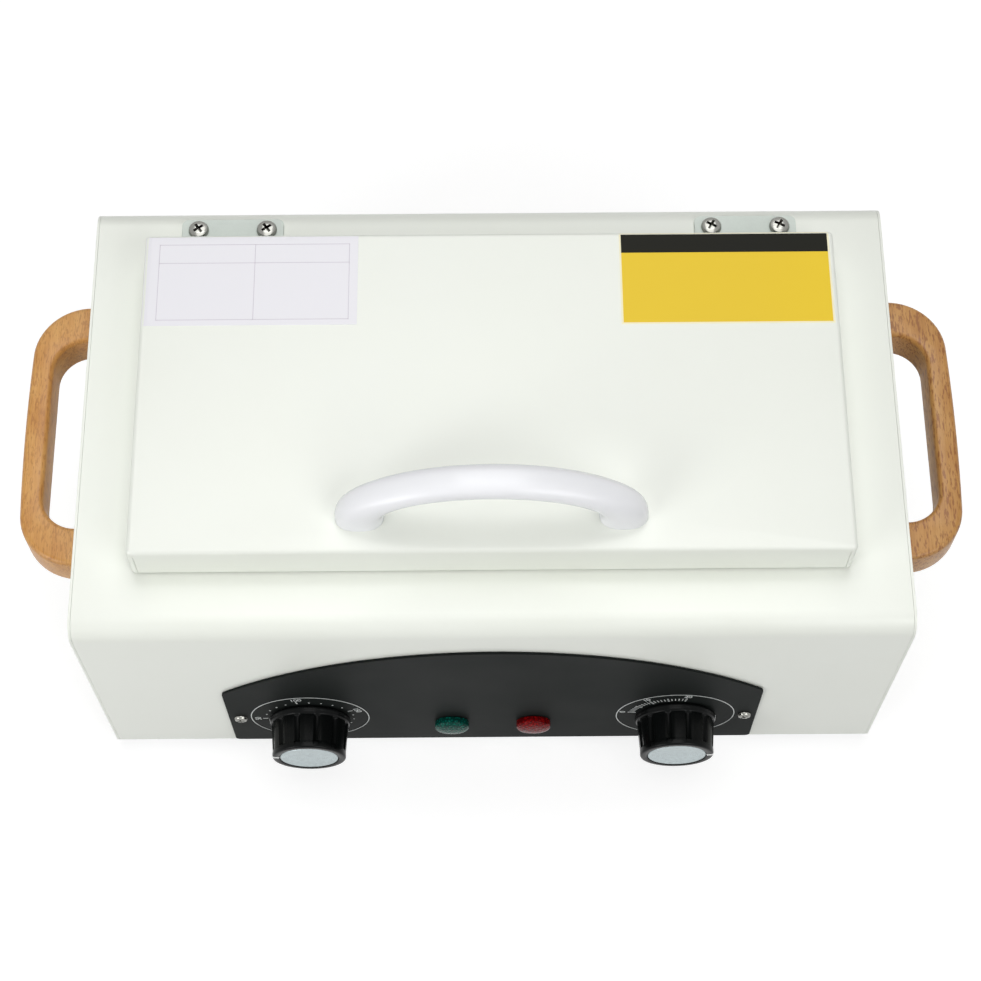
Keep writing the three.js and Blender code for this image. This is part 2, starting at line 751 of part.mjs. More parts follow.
function makeControlPlate() {
  const plate = forward(plateOutline(), -plateFace, -seat);
  const cutters = [];
  const through = [-plateFace - overrun, overrun];
  for (const side of [-1, 1]) {
    cutters.push(barForward(bushRadius + slip, ...through).translate(side * dialSpread, 0, dialHeight));
    cutters.push(barForward(lampBarrel + slip, ...through).translate(side * lampSpread, 0, lampHeight));
    const pilot = barForward(plateScrewRadius + slip, ...through, holeSides);
    cutters.push(pilot.translate(side * plateScrewSpread, 0, dialHeight));
  }
  return cut(plate, ...cutters);
}

// Ring of the knob's outer face at one height, sunk where it is fluted
function knobRing(radius, height, depth) {
  const period = (4 * quarterTurn) / fluteCount;
  const [half, flank] = [fluteLandShare / 2, fluteFlankShare];
  const stations = [[-half, 0], [half, 0], [half + flank, 1], [1 - half - flank, 1]];
  const ring = [];
  for (let flute = 0; flute < fluteCount; flute += 1) {
    for (const [share, sunk] of stations) {
      const angle = (flute + share) * period;
      const reach = radius - sunk * depth;
      ring.push(new THREE.Vector3(reach * Math.cos(angle), reach * Math.sin(angle), height));
    }
  }
  return ring;
}

// Bore with a flat, which turns with the shaft
function flattedBar(radius, flat, low, high) {
  const wide = radius + overrun;
  return cut(bar(radius, low, high), box([flat, -wide, low - overrun], [wide, wide, high + overrun]));
}

// Knob, standing up from the plate's face: skirt, fluted grip, smooth band and a seat for the cap
const knobTop = knobReach - plateFace;

function makeKnob() {
  const skirtTop = knobStandoff + skirtHeight;
  const gripLow = skirtTop + skirtBevel;
  const bandLow = knobTop - gripBand;
  const tip = gripRadius - gripTaper;
  const rings = [
    knobRing(skirtRadius, knobStandoff, 0),
    knobRing(skirtRadius, skirtTop, 0),
    knobRing(gripRadius, gripLow, 0),
    knobRing(gripRadius, gripLow + fluteRunout / 2, fluteDepth),
    knobRing(tip, bandLow - fluteRunout, fluteDepth),
    knobRing(tip, bandLow, 0),
    knobRing(tip, knobTop - rimChamfer, 0),
    knobRing(tip - rimChamfer, knobTop, 0),
  ];
  const capSeat = bar(capRadius + seat, knobTop - capThickness, knobTop + overrun, roundSides);
  const inner = gripRadius - fluteDepth - knobWall;
  const hollow = cut(
    bar(inner, knobStandoff - overrun, knobStandoff + knobHollow),
    bar(knobHub, knobStandoff - 2 * overrun, knobStandoff + knobHollow + overrun));
  const bore = flattedBar(shaftRadius + seat, shaftFlat + seat, knobStandoff - overrun, shaftInKnob + slip);
  return cut(lofted(rings), capSeat, hollow, bore);
}

// Spun cap that lies in the knob's face
function makeKnobCap() {
  const low = knobTop - capThickness + seat;
  const profile = [[0, low], [capRadius, low], [capRadius, knobTop - capEdge]];
  profile.push([capRadius - capEdge, knobTop], [0, knobTop]);
  return turned(profile);
}

// Shaft with a flat, from inside its control out into the knob
function makeShaft() {
  return flattedBar(shaftRadius, shaftFlat, -plateFace - sheet - shaftInside, shaftInKnob);
}

// What both controls behind the front share: bracket, bush and bore for the shaft; z = 0 is the plate's face
const controlFace = -plateFace - sheet - seat;
const controlBack = controlFace - controlDepth;

function controlBody(...housings) {
  const bracketOutline = roundedRectangle(bracketWidth, controlHeight - 2 * bracketInset, bracketCorner);
  const bracket = upright(bracketOutline, controlFace - bracketThickness, controlFace);
  const bush = bar(bushRadius, controlFace - bracketThickness, -seat);
  const bore = bar(shaftRadius + slip, controlFace - shaftInside - overrun, overrun);
  return cut(join(bracket, bush, ...housings), bore);
}

// Capillary thermostat: a square housing
function makeThermostat() {
  const [wide, tall] = [controlWidth / 2, controlHeight / 2];
  return controlBody(box([-wide, -tall, controlBack], [wide, tall, controlFace]));
}

// Clockwork timer: a drum with its bell behind
function makeTimer() {
  const drum = bar(controlHeight / 2, controlBack, controlFace);
  const bell = bar(timerBellRadius, controlBack - timerBellDepth, controlBack + timerBellDepth);
  return controlBody(drum, bell);
}

// Capillary from the thermostat's back up to its bulb, which lies along the tub's front wall
function makeBulb() {
  const exitZ = dialHeight + controlHeight / 4 - bulbZ;
  const start = bulbRadius + capillaryBend - dialSpread;
  const capillary = bentTube([
    new THREE.Vector3(-dialSpread, slip - controlBack - plateFace - bulbY, exitZ),
    new THREE.Vector3(-dialSpread, 0, exitZ),
    new THREE.Vector3(-dialSpread, 0, 0),
    new THREE.Vector3(start + capillaryRadius, 0, 0),
  ], capillaryRadius, capillaryBend / 2);
  return join(capillary, barAcross(bulbRadius, start, start + bulbLength - 2 * capillaryBend));
}

// Lamp lens: a round cap over the bulb, standing on the plate's face
function makeLens() {
  const [inner, roof] = [lensRadius - lensWall, lensReach - lensWall];
  const profile = [[0, roof], [inner, roof], [inner, 0], [lensRadius, 0]];
  profile.push([lensRadius, lensReach - lensEdge], [lensRadius - lensEdge / 2, lensReach - lensEdge / 4]);
  profile.push([lensRadius - 2 * lensEdge, lensReach], [0, lensReach + lensCrown]);
  return turned(profile);
}

// Lamp holder: bulb, barrel through plate and front, and the nut that holds it from inside
function makeLampHolder() {
  const nutLow = controlFace - lampNutThickness;
  const profile = [[0, -lampLength], [lampBarrel, -lampLength], [lampBarrel, nutLow], [lampNut, nutLow]];
  profile.push([lampNut, controlFace], [lampBarrel, controlFace], [lampBarrel, 0], [lampBulb, 0]);
  profile.push([lampBulb, lampBulbReach - lampBulb / 2], [0, lampBulbReach]);
  return turned(profile, smallSides);
}

// Side handle in beech: a C in plan whose two arms meet the panel; x = 0 is the panel's face
const handleBoltSpread = (handleHalfLength + handleGapHalfLength) / 2;

function makeSideHandle() {
  const shape = new THREE.Shape();
  const [corner, root] = [handleReach - handleCrown, -2 * handleEdge];
  const [end, gapEnd] = [handleHalfLength - handleCorner, handleGapHalfLength - handleGapCorner];
  shape.moveTo(root, -handleHalfLength);
  shape.lineTo(corner - handleCorner, -handleHalfLength);
  shape.absarc(corner - handleCorner, -end, handleCorner, -quarterTurn, 0);
  shape.quadraticCurveTo(handleReach + handleCrown, 0, corner, end);
  shape.absarc(corner - handleCorner, end, handleCorner, 0, quarterTurn);
  shape.lineTo(root, handleHalfLength);
  shape.lineTo(root, handleGapHalfLength);
  shape.absarc(handleGapReach - handleGapCorner, gapEnd, handleGapCorner, quarterTurn, 0, true);
  shape.absarc(handleGapReach - handleGapCorner, -gapEnd, handleGapCorner, 0, -quarterTurn, true);
  shape.lineTo(root, -handleGapHalfLength);
  const wood = upright(shape, -handleThickness / 2, handleThickness / 2, handleEdge, edgeSteps);
  const wide = handleHalfLength + overrun;
  const trim = box([2 * root, -wide, -handleThickness], [slip, wide, handleThickness]);
  const bores = [-1, 1].map((step) => {
    const bore = barAcross(handleBoltRadius + slip, -overrun, handleBoltDepth + slip, holeSides);
    return bore.translate(0, step * handleBoltSpread, 0);
  });
  return cut(wood, trim, ...bores);
}

// Handle bolt: its head bears on the inside of the panel and its shank reaches into the arm
function makeHandleBolt() {
  const inside = -sheet - seat;
  const head = barAcross(handleBoltHead, inside - handleBoltHeadHeight, inside, wireSides);
  return join(head, barAcross(handleBoltRadius, inside - handleBoltHeadHeight / 2, handleBoltDepth));
}

// Hinge leaf in Y and Z round its pin: knuckles on the axis, joined to a flat that lies beside it
function leafKnuckles(mine) {
  const width = hingeLength / knuckleCount;
  const knuckles = [];
  for (let index = mine; index < knuckleCount; index += 2) {
    const left = index * width - hingeLength / 2;
    knuckles.push([left + slip / 2, left + width - slip / 2]);
  }
  return knuckles;
}

// Fixed leaf, flat on the cover behind the pin
function makeFixedLeaf() {
  const low = -knuckleRadius;
  const high = low + leafThickness;
  const flatStart = knuckleRadius + slip;
  const flat = box([-hingeLength / 2, flatStart, low], [hingeLength / 2, leafReach, high]);
  const knuckles = leafKnuckles(0).flatMap(([left, right]) => [
    barAcross(knuckleRadius, left, right),
    box([left, 0, low], [right, flatStart + leafThickness, high]),
  ]);
  const holes = [-1, 1].map((step) => {
    const hole = bar(hingeScrewRadius + slip, low - overrun, high + overrun, holeSides);
    return hole.translate(step * hingeScrewSpread, leafReach - leafEdge, 0);
  });
  const bore = barAcross(hingePin + slip, -hingeLength, hingeLength);
  return cut(join(flat, ...knuckles), bore, ...holes);
}

// Lid leaf, upright against the lid's rear flange
function makeLidLeaf() {
  const [front, back] = [-knuckleRadius, leafThickness - knuckleRadius];
  const flatStart = knuckleRadius + slip;
  const flat = box([-hingeLength / 2, front, flatStart], [hingeLength / 2, back, lidLeafRise]);
  const knuckles = leafKnuckles(1).flatMap(([left, right]) => [
    barAcross(knuckleRadius, left, right),
    box([left, front, 0], [right, back, flatStart + leafThickness]),
  ]);
  return cut(join(flat, ...knuckles), barAcross(hingePin + slip, -hingeLength, hingeLength));
}

// Lid shell: folded sheet, open below, with a thin seam at each corner
function makeLidShell() {
  const skin = pressedPan(lidWidth, lidDepth, lidFlange, lidCorner, lidBend);
  const [width, depth] = [lidWidth - 2 * sheet, lidDepth - 2 * sheet];
  const inner = pressedPan(width, depth, lidFlange, lidCorner - sheet, lidBend - sheet);
  const cutters = [inner.translate(0, 0, sheet)];
  for (const side of [-1, 1]) {
    for (const end of [-1, 1]) {
      const reach = sheet + lidSeam;
      const seam = box([-lidSeam / 2, -reach, 2 * lidBend], [lidSeam / 2, reach, lidFlange + overrun]);
      cutters.push(seam.translate(side * (lidWidth / 2 - lidCorner - lidSeam), (end * lidDepth) / 2, 0));
    }
    const hole = bar(bowScrewRadius + slip, -overrun, sheet + overrun, holeSides);
    cutters.push(hole.translate(side * bowHalfSpan, lidDepth / 2 - bowSetback, 0));
  }
  return cut(skin, ...cutters).rotateX(2 * quarterTurn);
}

// Lid liner: a pan inside the shell that closes it from below, pressed down in its middle
const lidInnerWidth = lidWidth - 2 * (sheet + slip);
const lidInnerDepth = lidDepth - 2 * (sheet + slip);

function makeLidLiner() {
  const pan = pressedPan(lidInnerWidth, lidInnerDepth, sheet + lidLinerLip, lidCorner, lidBend / 2);
  const [width, depth] = [lidInnerWidth - 2 * sheet, lidInnerDepth - 2 * sheet];
  const hollow = pressedPan(width, depth, lidLinerLip + overrun, lidCorner - sheet / 2, lidBend / 4);
  const [wide, deep] = [width - 2 * lidEmbossInset, depth - 2 * lidEmbossInset];
  const dimple = upright(roundedRectangle(wide, deep, linerCorner), -lidEmbossHeight, sheet / 2);
  const dimpleInside = roundedRectangle(wide - 2 * sheet, deep - 2 * sheet, linerCorner - sheet);
  const dimpleHollow = upright(dimpleInside, sheet - lidEmbossHeight, sheet + overrun);
  return cut(join(pan, dimple), hollow.translate(0, 0, sheet), dimpleHollow);
}

// Wool in the lid, with room for the heads of the bow handle's screws
function makeLidWool(height) {
  const [width, depth] = [lidInnerWidth - 2 * (sheet + slip), lidInnerDepth - 2 * (sheet + slip)];
  const block = upright(roundedRectangle(width, depth, lidCorner), 0, height);
  const rooms = [-1, 1].map((side) => {
    const room = bar(bowScrewHead + 2 * slip, height - bowScrewHeadHeight - 2 * overrun, height + overrun);
    return room.translate(side * bowHalfSpan, bowSetback - lidDepth / 2, 0);
  });
  return cut(block, ...rooms);
}

// Sine or cosine drawn towards a square, which turns an ellipse into a fuller section
function squared(value) {
  return Math.sign(value) * Math.abs(value) ** bowSquarenessShare;
}

// Bow handle: a rounded section carried along half an ellipse, thicker towards its two feet
function makeBow() {
  const rings = [];
  for (let step = 0; step <= bowSteps; step += 1) {
    const angle = (2 * quarterTurn * step) / bowSteps;
    const [sine, cosine] = [Math.sin(angle), Math.cos(angle)];
    const swell = Math.abs(cosine) ** bowSwellShare;
    const halfThickness = (bowThickness + (bowFootThickness - bowThickness) * swell) / 2;
    const halfWidth = (bowWidth + (bowFootWidth - bowWidth) * swell) / 2;
    const middle = new THREE.Vector3(-bowHalfSpan * cosine, 0, bowRise * sine);
    const outward = new THREE.Vector3(-bowRise * cosine, 0, bowHalfSpan * sine).normalize();
    const ring = [];
    for (let side = 0; side < bowSides; side += 1) {
      const turn = (4 * quarterTurn * side) / bowSides;
      const reach = halfThickness * squared(Math.cos(turn));
      const wide = halfWidth * squared(Math.sin(turn));
      ring.push(middle.clone().addScaledVector(outward, reach).add(new THREE.Vector3(0, wide, 0)));
    }
    rings.push(ring);
  }
  const bores = [-1, 1].map((side) => {
    const bore = bar(bowScrewRadius + slip, -overrun, bowScrewDepth + slip, holeSides);
    return bore.translate(side * bowHalfSpan, 0, 0);
  });
  return cut(lofted(rings), ...bores);
}

// Screw of the bow handle, head under the lid's top sheet and shank up into the foot
function makeBowScrew() {
  const under = -seat - sheet - seat;
  const head = bar(bowScrewHead, under - bowScrewHeadHeight, under);
  return join(head, bar(bowScrewRadius, under - bowScrewHeadHeight / 2, bowScrewDepth));
}

// Cord gland, turned, with a groove that holds the back sheet; z = 0 is the sheet's outer face
function makeGland() {
  const [inside, outside] = [-sheet - seat, seat + glandFlangeThickness];
  const barb = glandBody + glandBarb;
  const profile = [[glandBore, -glandInside], [glandBody, -glandInside], [barb, inside - glandBarb]];
  profile.push([barb, inside], [glandBody, inside], [glandBody, seat], [glandFlange, seat]);
  profile.push([glandFlange, outside], [glandNose + glandBarb, outside]);
  profile.push([glandNose, glandReach], [glandBore, glandReach], [glandBore, -glandInside]);
  return turned(profile, smallSides);
}

// Terminal block on the base, with two screw wells for each way
function makeTerminalBlock() {
  const [wide, deep] = [terminalWidth / 2, terminalDepth / 2];
  const wells = [];
  for (let way = 0; way < terminalWays; way += 1) {
    const x = ((way + 1 / 2) / terminalWays - 1 / 2) * terminalWidth;
    for (const y of [-deep / 2, deep / 2]) {
      const well = bar(terminalWell, terminalHeight - terminalWellDepth, terminalHeight + overrun, wireSides);
      wells.push(well.translate(x, y, 0));
    }
  }
  return cut(box([-wide, -deep, 0], [wide, deep, terminalHeight]), ...wells);
}

// Cabinet with what is fixed to it
const sterilizer = new THREE.Group();
const cabinet = new THREE.Group();
cabinet.position.set(0, -(caseDepth + glandReach - knobReach) / 2, footHeight);
sterilizer.add(cabinet);

cabinet.add(piece('cover', makeCover(), 'whitePaint'));
cabinet.add(piece('side_panel_right', makeSidePanel(), 'whitePaint', caseWidth / 2));
const mirroredPanel = makeSidePanel().scale(-1, 1, 1);
cabinet.add(piece('side_panel_left', mirroredPanel, 'whitePaint', -caseWidth / 2));
cabinet.add(piece('base_plate', makeBasePlate(), 'galvanised'));
const footNames = ['foot_front_left', 'foot_back_left', 'foot_front_right', 'foot_back_right'];
footPlaces.forEach(([x, y], index) => {
  cabinet.add(piece(footNames[index], makeFoot(), 'rubber', x, y, -footHeight));
});
baseScrewPlaces.forEach(([x, y], index) => {
  cabinet.add(piece(`base_screw_${index + 1}`, makeBaseScrew(), 'galvanised', x, y, -seat));
});
const gland = makeGland().rotateX(-quarterTurn);
cabinet.add(piece('cord_gland', gland, 'darkPlastic', glandSide, caseDepth, glandHeight));
const terminalPlace = [glandSide, caseDepth - terminalInset, sheet + seat];
cabinet.add(piece('terminal_block', makeTerminalBlock(), 'palePlastic', ...terminalPlace));

// Side handles, the left one turned round
for (const [name, side] of [['left', -1], ['right', 1]]) {
  const handle = new THREE.Group();
  handle.position.set((side * caseWidth) / 2, handleMiddle, handleRise);
  handle.rotation.z = side < 0 ? 2 * quarterTurn : 0;
  handle.add(piece(`side_handle_${name}`, makeSideHandle(), 'beech'));
  handle.add(piece(`handle_bolt_${name}_1`, makeHandleBolt(), 'nickel', 0, -handleBoltSpread, 0));
  handle.add(piece(`handle_bolt_${name}_2`, makeHandleBolt(), 'nickel', 0, handleBoltSpread, 0));
  cabinet.add(handle);
}

// Heated chamber
const heaterZ = linerBottom - seat - heaterRadius;
cabinet.add(piece('chamber_liner', makeChamberLiner(), 'stainless', 0, lidMiddle, linerBottom));
cabinet.add(piece('heating_element', makeHeater(), 'stainless', 0, lidMiddle, heaterZ));
const clampZ = heaterZ - heaterRadius - seat - clampThickness;
cabinet.add(piece('heater_clamp', makeHeaterClamp(), 'galvanised', 0, lidMiddle, clampZ));
cabinet.add(piece('chamber_wool', makeWool(), 'mineralWool', 0, lidMiddle, 0));
cabinet.add(piece('thermostat_bulb', makeBulb(), 'copper', 0, bulbY, bulbZ));

// Tray and its bails
const tray = new THREE.Group();
tray.position.set(0, lidMiddle, chamberFloor + seat);
tray.add(piece('tray', makeTray(), 'stainless'));
tray.add(piece('tray_bail_left', makeBail(), 'nickel', -bailPivotX, 0, bailPivotZ));
tray.add(piece('tray_bail_right', makeBail(), 'nickel', bailPivotX, 0, bailPivotZ));
cabinet.add(tray);

// Controls on the front, each built standing up and laid forward on the plate's face
cabinet.add(piece('control_plate', makeControlPlate(), 'plateBlack'));
for (const [name, side, body] of [['temperature', -1, makeThermostat()], ['timer', 1, makeTimer()]]) {
  const control = new THREE.Group();
  control.position.set(side * dialSpread, -plateFace, dialHeight);
  control.rotation.x = quarterTurn;
  control.add(piece(`${name}_knob`, makeKnob(), 'knobBlack'));
  control.add(piece(`${name}_knob_cap`, makeKnobCap(), 'spunAluminium'));
  control.add(piece(`${name}_shaft`, makeShaft(), 'nickel'));
  control.add(piece(name === 'timer' ? 'timer_body' : 'thermostat_body', body, 'darkPlastic'));
  cabinet.add(control);
}
for (const [name, side] of [['green', -1], ['red', 1]]) {
  const lamp = new THREE.Group();
  lamp.position.set(side * lampSpread, -plateFace, lampHeight);
  lamp.rotation.x = quarterTurn;
  lamp.add(piece(`lamp_lens_${name}`, makeLens(), `${name}Lens`, 0, 0, slip));
  lamp.add(piece(`lamp_holder_${name}`, makeLampHolder(), 'palePlastic'));
  cabinet.add(lamp);
}
for (const [name, side] of [['left', -1], ['right', 1]]) {
  const screw = crossHeadScrew(plateScrewHead, plateScrewHeadHeight, plateScrewRadius, plateScrewLength);
  const [x, y] = [side * plateScrewSpread, -plateFace - slip];
  cabinet.add(piece(`plate_screw_${name}`, screw.rotateX(quarterTurn), 'nickel', x, y, dialHeight));
}

// Hinges: the fixed leaf, the pin and the screws stay with the cabinet
for (const [name, side] of [['left', -1], ['right', 1]]) {
  cabinet.add(piece(`hinge_leaf_${name}`, makeFixedLeaf(), 'nickel', side * hingeSpread, hingeY, hingeZ));
  const pin = barAcross(hingePin, -hingeLength / 2, hingeLength / 2);
  cabinet.add(piece(`hinge_pin_${name}`, pin, 'nickel', side * hingeSpread, hingeY, hingeZ));
  [-1, 1].forEach((step, index) => {
    const screw = crossHeadScrew(hingeScrewHead, hingeScrewHeadHeight, hingeScrewRadius, hingeScrewLength);
    const x = side * hingeSpread + step * hingeScrewSpread;
    const [y, z] = [hingeY + leafReach - leafEdge, hingeZ - knuckleRadius + leafThickness + seat];
    cabinet.add(piece(`hinge_screw_${name}_${index + 1}`, screw, 'nickel', x, y, z));
  });
}

// Lid, a group on the hinge axis whose inside is drawn in the cabinet's frame
const lid = new THREE.Group();
lid.position.set(0, hingeY, hingeZ);
cabinet.add(lid);
const lidInside = new THREE.Group();
lidInside.position.set(0, -hingeY, -hingeZ);
lid.add(lidInside);

const lidLinerZ = flangeTop + lidLinerGap;
const lidWoolZ = lidLinerZ + sheet + seat;
const lidWoolHeight = lidTop - sheet - seat - lidWoolZ;
lidInside.add(piece('lid_shell', makeLidShell(), 'whitePaint', 0, lidMiddle, lidTop));
lidInside.add(piece('lid_liner', makeLidLiner(), 'stainless', 0, lidMiddle, lidLinerZ));
lidInside.add(piece('lid_wool', makeLidWool(lidWoolHeight), 'mineralWool', 0, lidMiddle, lidWoolZ));
const bowY = lidSetback + bowSetback;
lidInside.add(piece('lid_handle', makeBow(), 'handlePlastic', 0, bowY, lidTop + seat));
for (const [name, side] of [['left', -1], ['right', 1]]) {
  const screw = makeBowScrew();
  lidInside.add(piece(`lid_handle_screw_${name}`, screw, 'nickel', side * bowHalfSpan, bowY, lidTop + seat));
  lid.add(piece(`lid_hinge_leaf_${name}`, makeLidLeaf(), 'nickel', side * hingeSpread));
}

export default sterilizer;
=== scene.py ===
# %% [markdown]
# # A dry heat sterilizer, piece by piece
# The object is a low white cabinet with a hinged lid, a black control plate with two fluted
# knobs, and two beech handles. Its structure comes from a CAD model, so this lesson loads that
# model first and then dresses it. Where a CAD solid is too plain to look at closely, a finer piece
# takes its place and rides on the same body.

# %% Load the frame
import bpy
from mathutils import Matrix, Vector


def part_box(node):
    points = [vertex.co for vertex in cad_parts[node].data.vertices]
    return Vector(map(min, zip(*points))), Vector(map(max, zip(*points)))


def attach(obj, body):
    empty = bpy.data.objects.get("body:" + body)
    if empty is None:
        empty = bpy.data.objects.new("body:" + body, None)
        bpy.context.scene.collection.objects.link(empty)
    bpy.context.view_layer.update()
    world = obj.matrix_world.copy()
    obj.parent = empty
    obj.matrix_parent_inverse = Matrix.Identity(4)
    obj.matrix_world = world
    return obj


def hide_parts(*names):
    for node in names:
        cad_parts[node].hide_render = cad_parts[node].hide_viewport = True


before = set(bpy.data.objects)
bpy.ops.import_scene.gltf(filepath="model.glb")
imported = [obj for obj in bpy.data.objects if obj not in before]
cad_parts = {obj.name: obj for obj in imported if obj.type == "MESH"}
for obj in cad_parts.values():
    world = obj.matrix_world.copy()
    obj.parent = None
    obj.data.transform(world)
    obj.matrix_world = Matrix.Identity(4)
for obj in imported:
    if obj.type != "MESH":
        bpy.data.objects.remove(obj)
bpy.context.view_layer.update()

# %% [markdown]
# ## The camera
# The photograph was taken from above the front edge with a long lens. A camera matched to it
# comes first, because every later choice of detail depends on what it sees. The tilt is counted
# from looking straight down, and the lens from a 36 mm wide sensor.

# %% Make the camera
import math
import bmesh
import bpy
from mathutils import Matrix, Vector
from mathutils.geometry import tessellate_polygon


def add_object(name, data):
    """Stands a new object with the given data in the scene."""
    thing = bpy.data.objects.new(name, data)
    bpy.context.scene.collection.objects.link(thing)
    return thing


camera_data = bpy.data.cameras.new("camera")
camera_data.lens = 81.45
camera_data.sensor_width = 36
camera_data.clip_start = 0.01
camera = add_object("camera", camera_data)
turn = Matrix.Rotation(math.radians(-0.22), 4, "Z")
tilt = Matrix.Rotation(math.radians(24.33), 4, "X")
roll = Matrix.Rotation(math.radians(-0.23), 4, "Z")
camera.matrix_world = Matrix.Translation((-0.0016, -0.3709, 0.8854)) @ turn @ tilt @ roll
bpy.context.scene.camera = camera
print("Camera stands at", [round(v, 3) for v in camera.matrix_world.translation])

# %% [markdown]
# ## Millimetres and places
# A drawing of an appliance is in millimetres, while Blender works in metres. All sizes below are
# in millimetres, and one factor turns them into metres when a mesh is made. The CAD boxes say
# where each piece belongs, so a place is read from the frame and not typed twice.

# %% Read the places from the frame
MM = 0.001
FULL_TURN = 2 * math.pi


def span(node):
    """Lowest and highest corner of a CAD node, in millimetres."""
    return [Vector([round(v / MM, 4) for v in corner]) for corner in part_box(node)]


cover_low, cover_high = span("cover")
lid_low, lid_high = span("lid_shell")
hinge_low, hinge_high = span("hinge_pin_left")
FRONT, BACK, FLOOR, TOP = cover_low.y, cover_high.y, cover_low.z, cover_high.z
PANEL_FACE, PLATE_FACE = span("side_panel_right")[1].x, span("control_plate")[0].y
LID_MIDDLE = (lid_low.y + lid_high.y) / 2
PIN = Vector((0, (hinge_low.y + hinge_high.y) / 2, (hinge_low.z + hinge_high.z) / 2))
print("Front face at y =", FRONT, "and lid top at z =", lid_high.z)

# %% [markdown]
# ## Node trees that read like formulas
# Materials and Geometry Nodes are both built from nodes. Adding Math nodes by hand hides what
# they compute, so a small class stands for one output: a sum or a product of two outputs adds the
# node and gives back its result. The same class serves both kinds of tree.

# %% A wire between nodes
class Wire:
    """One output in a node tree. Sums and products of wires add Math nodes."""

    def __init__(self, tree, socket):
        self.tree, self.socket = tree, socket

    def math(self, operation, *others):
        node = self.tree.nodes.new("ShaderNodeMath")
        node.operation = operation
        for socket, value in zip(node.inputs, (self, *others)):
            feed(self.tree, socket, value)
        return Wire(self.tree, node.outputs[0])

    def __add__(self, other):
        return self.math("ADD", other)

    def __sub__(self, other):
        return self.math("SUBTRACT", other)

    def __mul__(self, other):
        return self.math("MULTIPLY", other)

    def __truediv__(self, other):
        return self.math("DIVIDE", other)

    def __pow__(self, other):
        return self.math("POWER", other)


def feed(tree, socket, value):
    """Links a wire to a socket, or sets the socket to a plain value."""
    if isinstance(value, Wire):
        tree.links.new(value.socket, socket)
    else:
        socket.default_value = value


def add_node(tree, kind, inputs=None, output=0, **settings):
    """Adds a node, sets it up and returns one of its outputs as a wire."""
    node = tree.nodes.new(kind)
    for key, value in settings.items():
        setattr(node, key, value)
    for key, value in (inputs or {}).items():
        feed(tree, node.inputs[key], value)
    return Wire(tree, node.outputs[output])


def outputs(wire, *names):
    """Named outputs of the node that a wire comes from."""
    return [Wire(wire.tree, wire.socket.node.outputs[name]) for name in names]


print("Formulas ready")

# %% [markdown]
# ## A finish
# Every material starts from the same few moves: a Principled shader with its plain values, a
# place on the piece in object coordinates, noise or cells at a real size, and a bump. A class
# keeps those moves short. Object coordinates are used because every piece stands at the origin
# with its place in its mesh, so a pattern keeps its size in metres and moves with the piece.

# %% The class for finishes
def srgb(red, green, blue):
    """A colour read off a screen, 0 to 255, as the linear colour that a shader wants."""
    linear = [v / 3294.6 if v <= 10.31 else ((v / 255 + 0.055) / 1.055) ** 2.4
              for v in (red, green, blue)]
    return (*linear, 1.0)


class Finish:
    """A material being built, with short words for the nodes that finishes share."""

    def __init__(self, name, colour, roughness, metallic=0.0, **sockets):
        self.material = bpy.data.materials.new(name)
        self.material.use_nodes = True
        self.material.diffuse_color = srgb(*colour)
        self.tree = self.material.node_tree
        self.shader = self.tree.nodes["Principled BSDF"]
        self.set("Base Color", srgb(*colour))
        self.set("Roughness", roughness)
        self.set("Metallic", metallic)
        for socket, value in sockets.items():
            self.set(socket.replace("_", " "), value)

    def set(self, socket, value):
        feed(self.tree, self.shader.inputs[socket], value)

    def place(self, scale=(1, 1, 1), location=(0, 0, 0)):
        """Object coordinates, moved by a location and then stretched."""
        place = add_node(self.tree, "ShaderNodeTexCoord", output="Object")
        place = add_node(self.tree, "ShaderNodeMapping", {"Vector": place, "Location": location})
        return add_node(self.tree, "ShaderNodeMapping", {"Vector": place, "Scale": scale})

    def noise(self, place, scale, detail, roughness=0.5):
        inputs = {"Vector": place, "Scale": scale, "Detail": detail, "Roughness": roughness}
        return add_node(self.tree, "ShaderNodeTexNoise", inputs)

    def ramp(self, factor, *stops):
        """Colours along a number: each stop is (position, colour)."""
        wire = add_node(self.tree, "ShaderNodeValToRGB", {0: factor})
        elements = wire.socket.node.color_ramp.elements
        while len(elements) < len(stops):
            elements.new(0.5)
        for element, (position, colour) in zip(elements, stops):
            element.position = position
            element.color = srgb(*colour)
        return wire

    def between(self, value, low, high, new_low=0.0, new_high=1.0):
        """A number moved from one range to another, and kept inside it."""
        names = ("Value", "From Min", "From Max", "To Min", "To Max")
        inputs = dict(zip(names, (value, low, high, new_low, new_high)))
        return add_node(self.tree, "ShaderNodeMapRange", inputs)

    def bump(self, height, millimetres):
        inputs = {"Height": height, "Distance": millimetres * MM}
        self.set("Normal", add_node(self.tree, "ShaderNodeBump", inputs))


print("Finish class ready")

# %% [markdown]
# ## Paint, plate and plastics
# The cabinet is powder coated: an even, faintly greenish white with the fine ripple called orange
# peel, about a millimetre from crest to crest. Two noises make it, a wide one for the slight
# unevenness of colour and gloss, and a small one for the ripple. Moulded plastics get the same
# treatment with other sizes, because no moulding is a perfect mirror either.

# %% Finish of the painted sheet
def painted(name, colour, shade, roughness, peel, depth, **sockets):
    """A coated or moulded surface: two close colours, uneven gloss and a fine ripple."""
    finish = Finish(name, colour, roughness, **sockets)
    place = finish.place()
    wide = finish.noise(place, 14, 3)
    fine = finish.noise(place, peel, 3)
    finish.set("Base Color", finish.ramp(wide, (0.3, shade), (0.7, colour)))
    gloss = wide + fine * 0.4
    finish.set("Roughness", finish.between(gloss, 0.4, 1.0, roughness * 0.85, roughness * 1.2))
    finish.bump(fine, depth)
    return finish


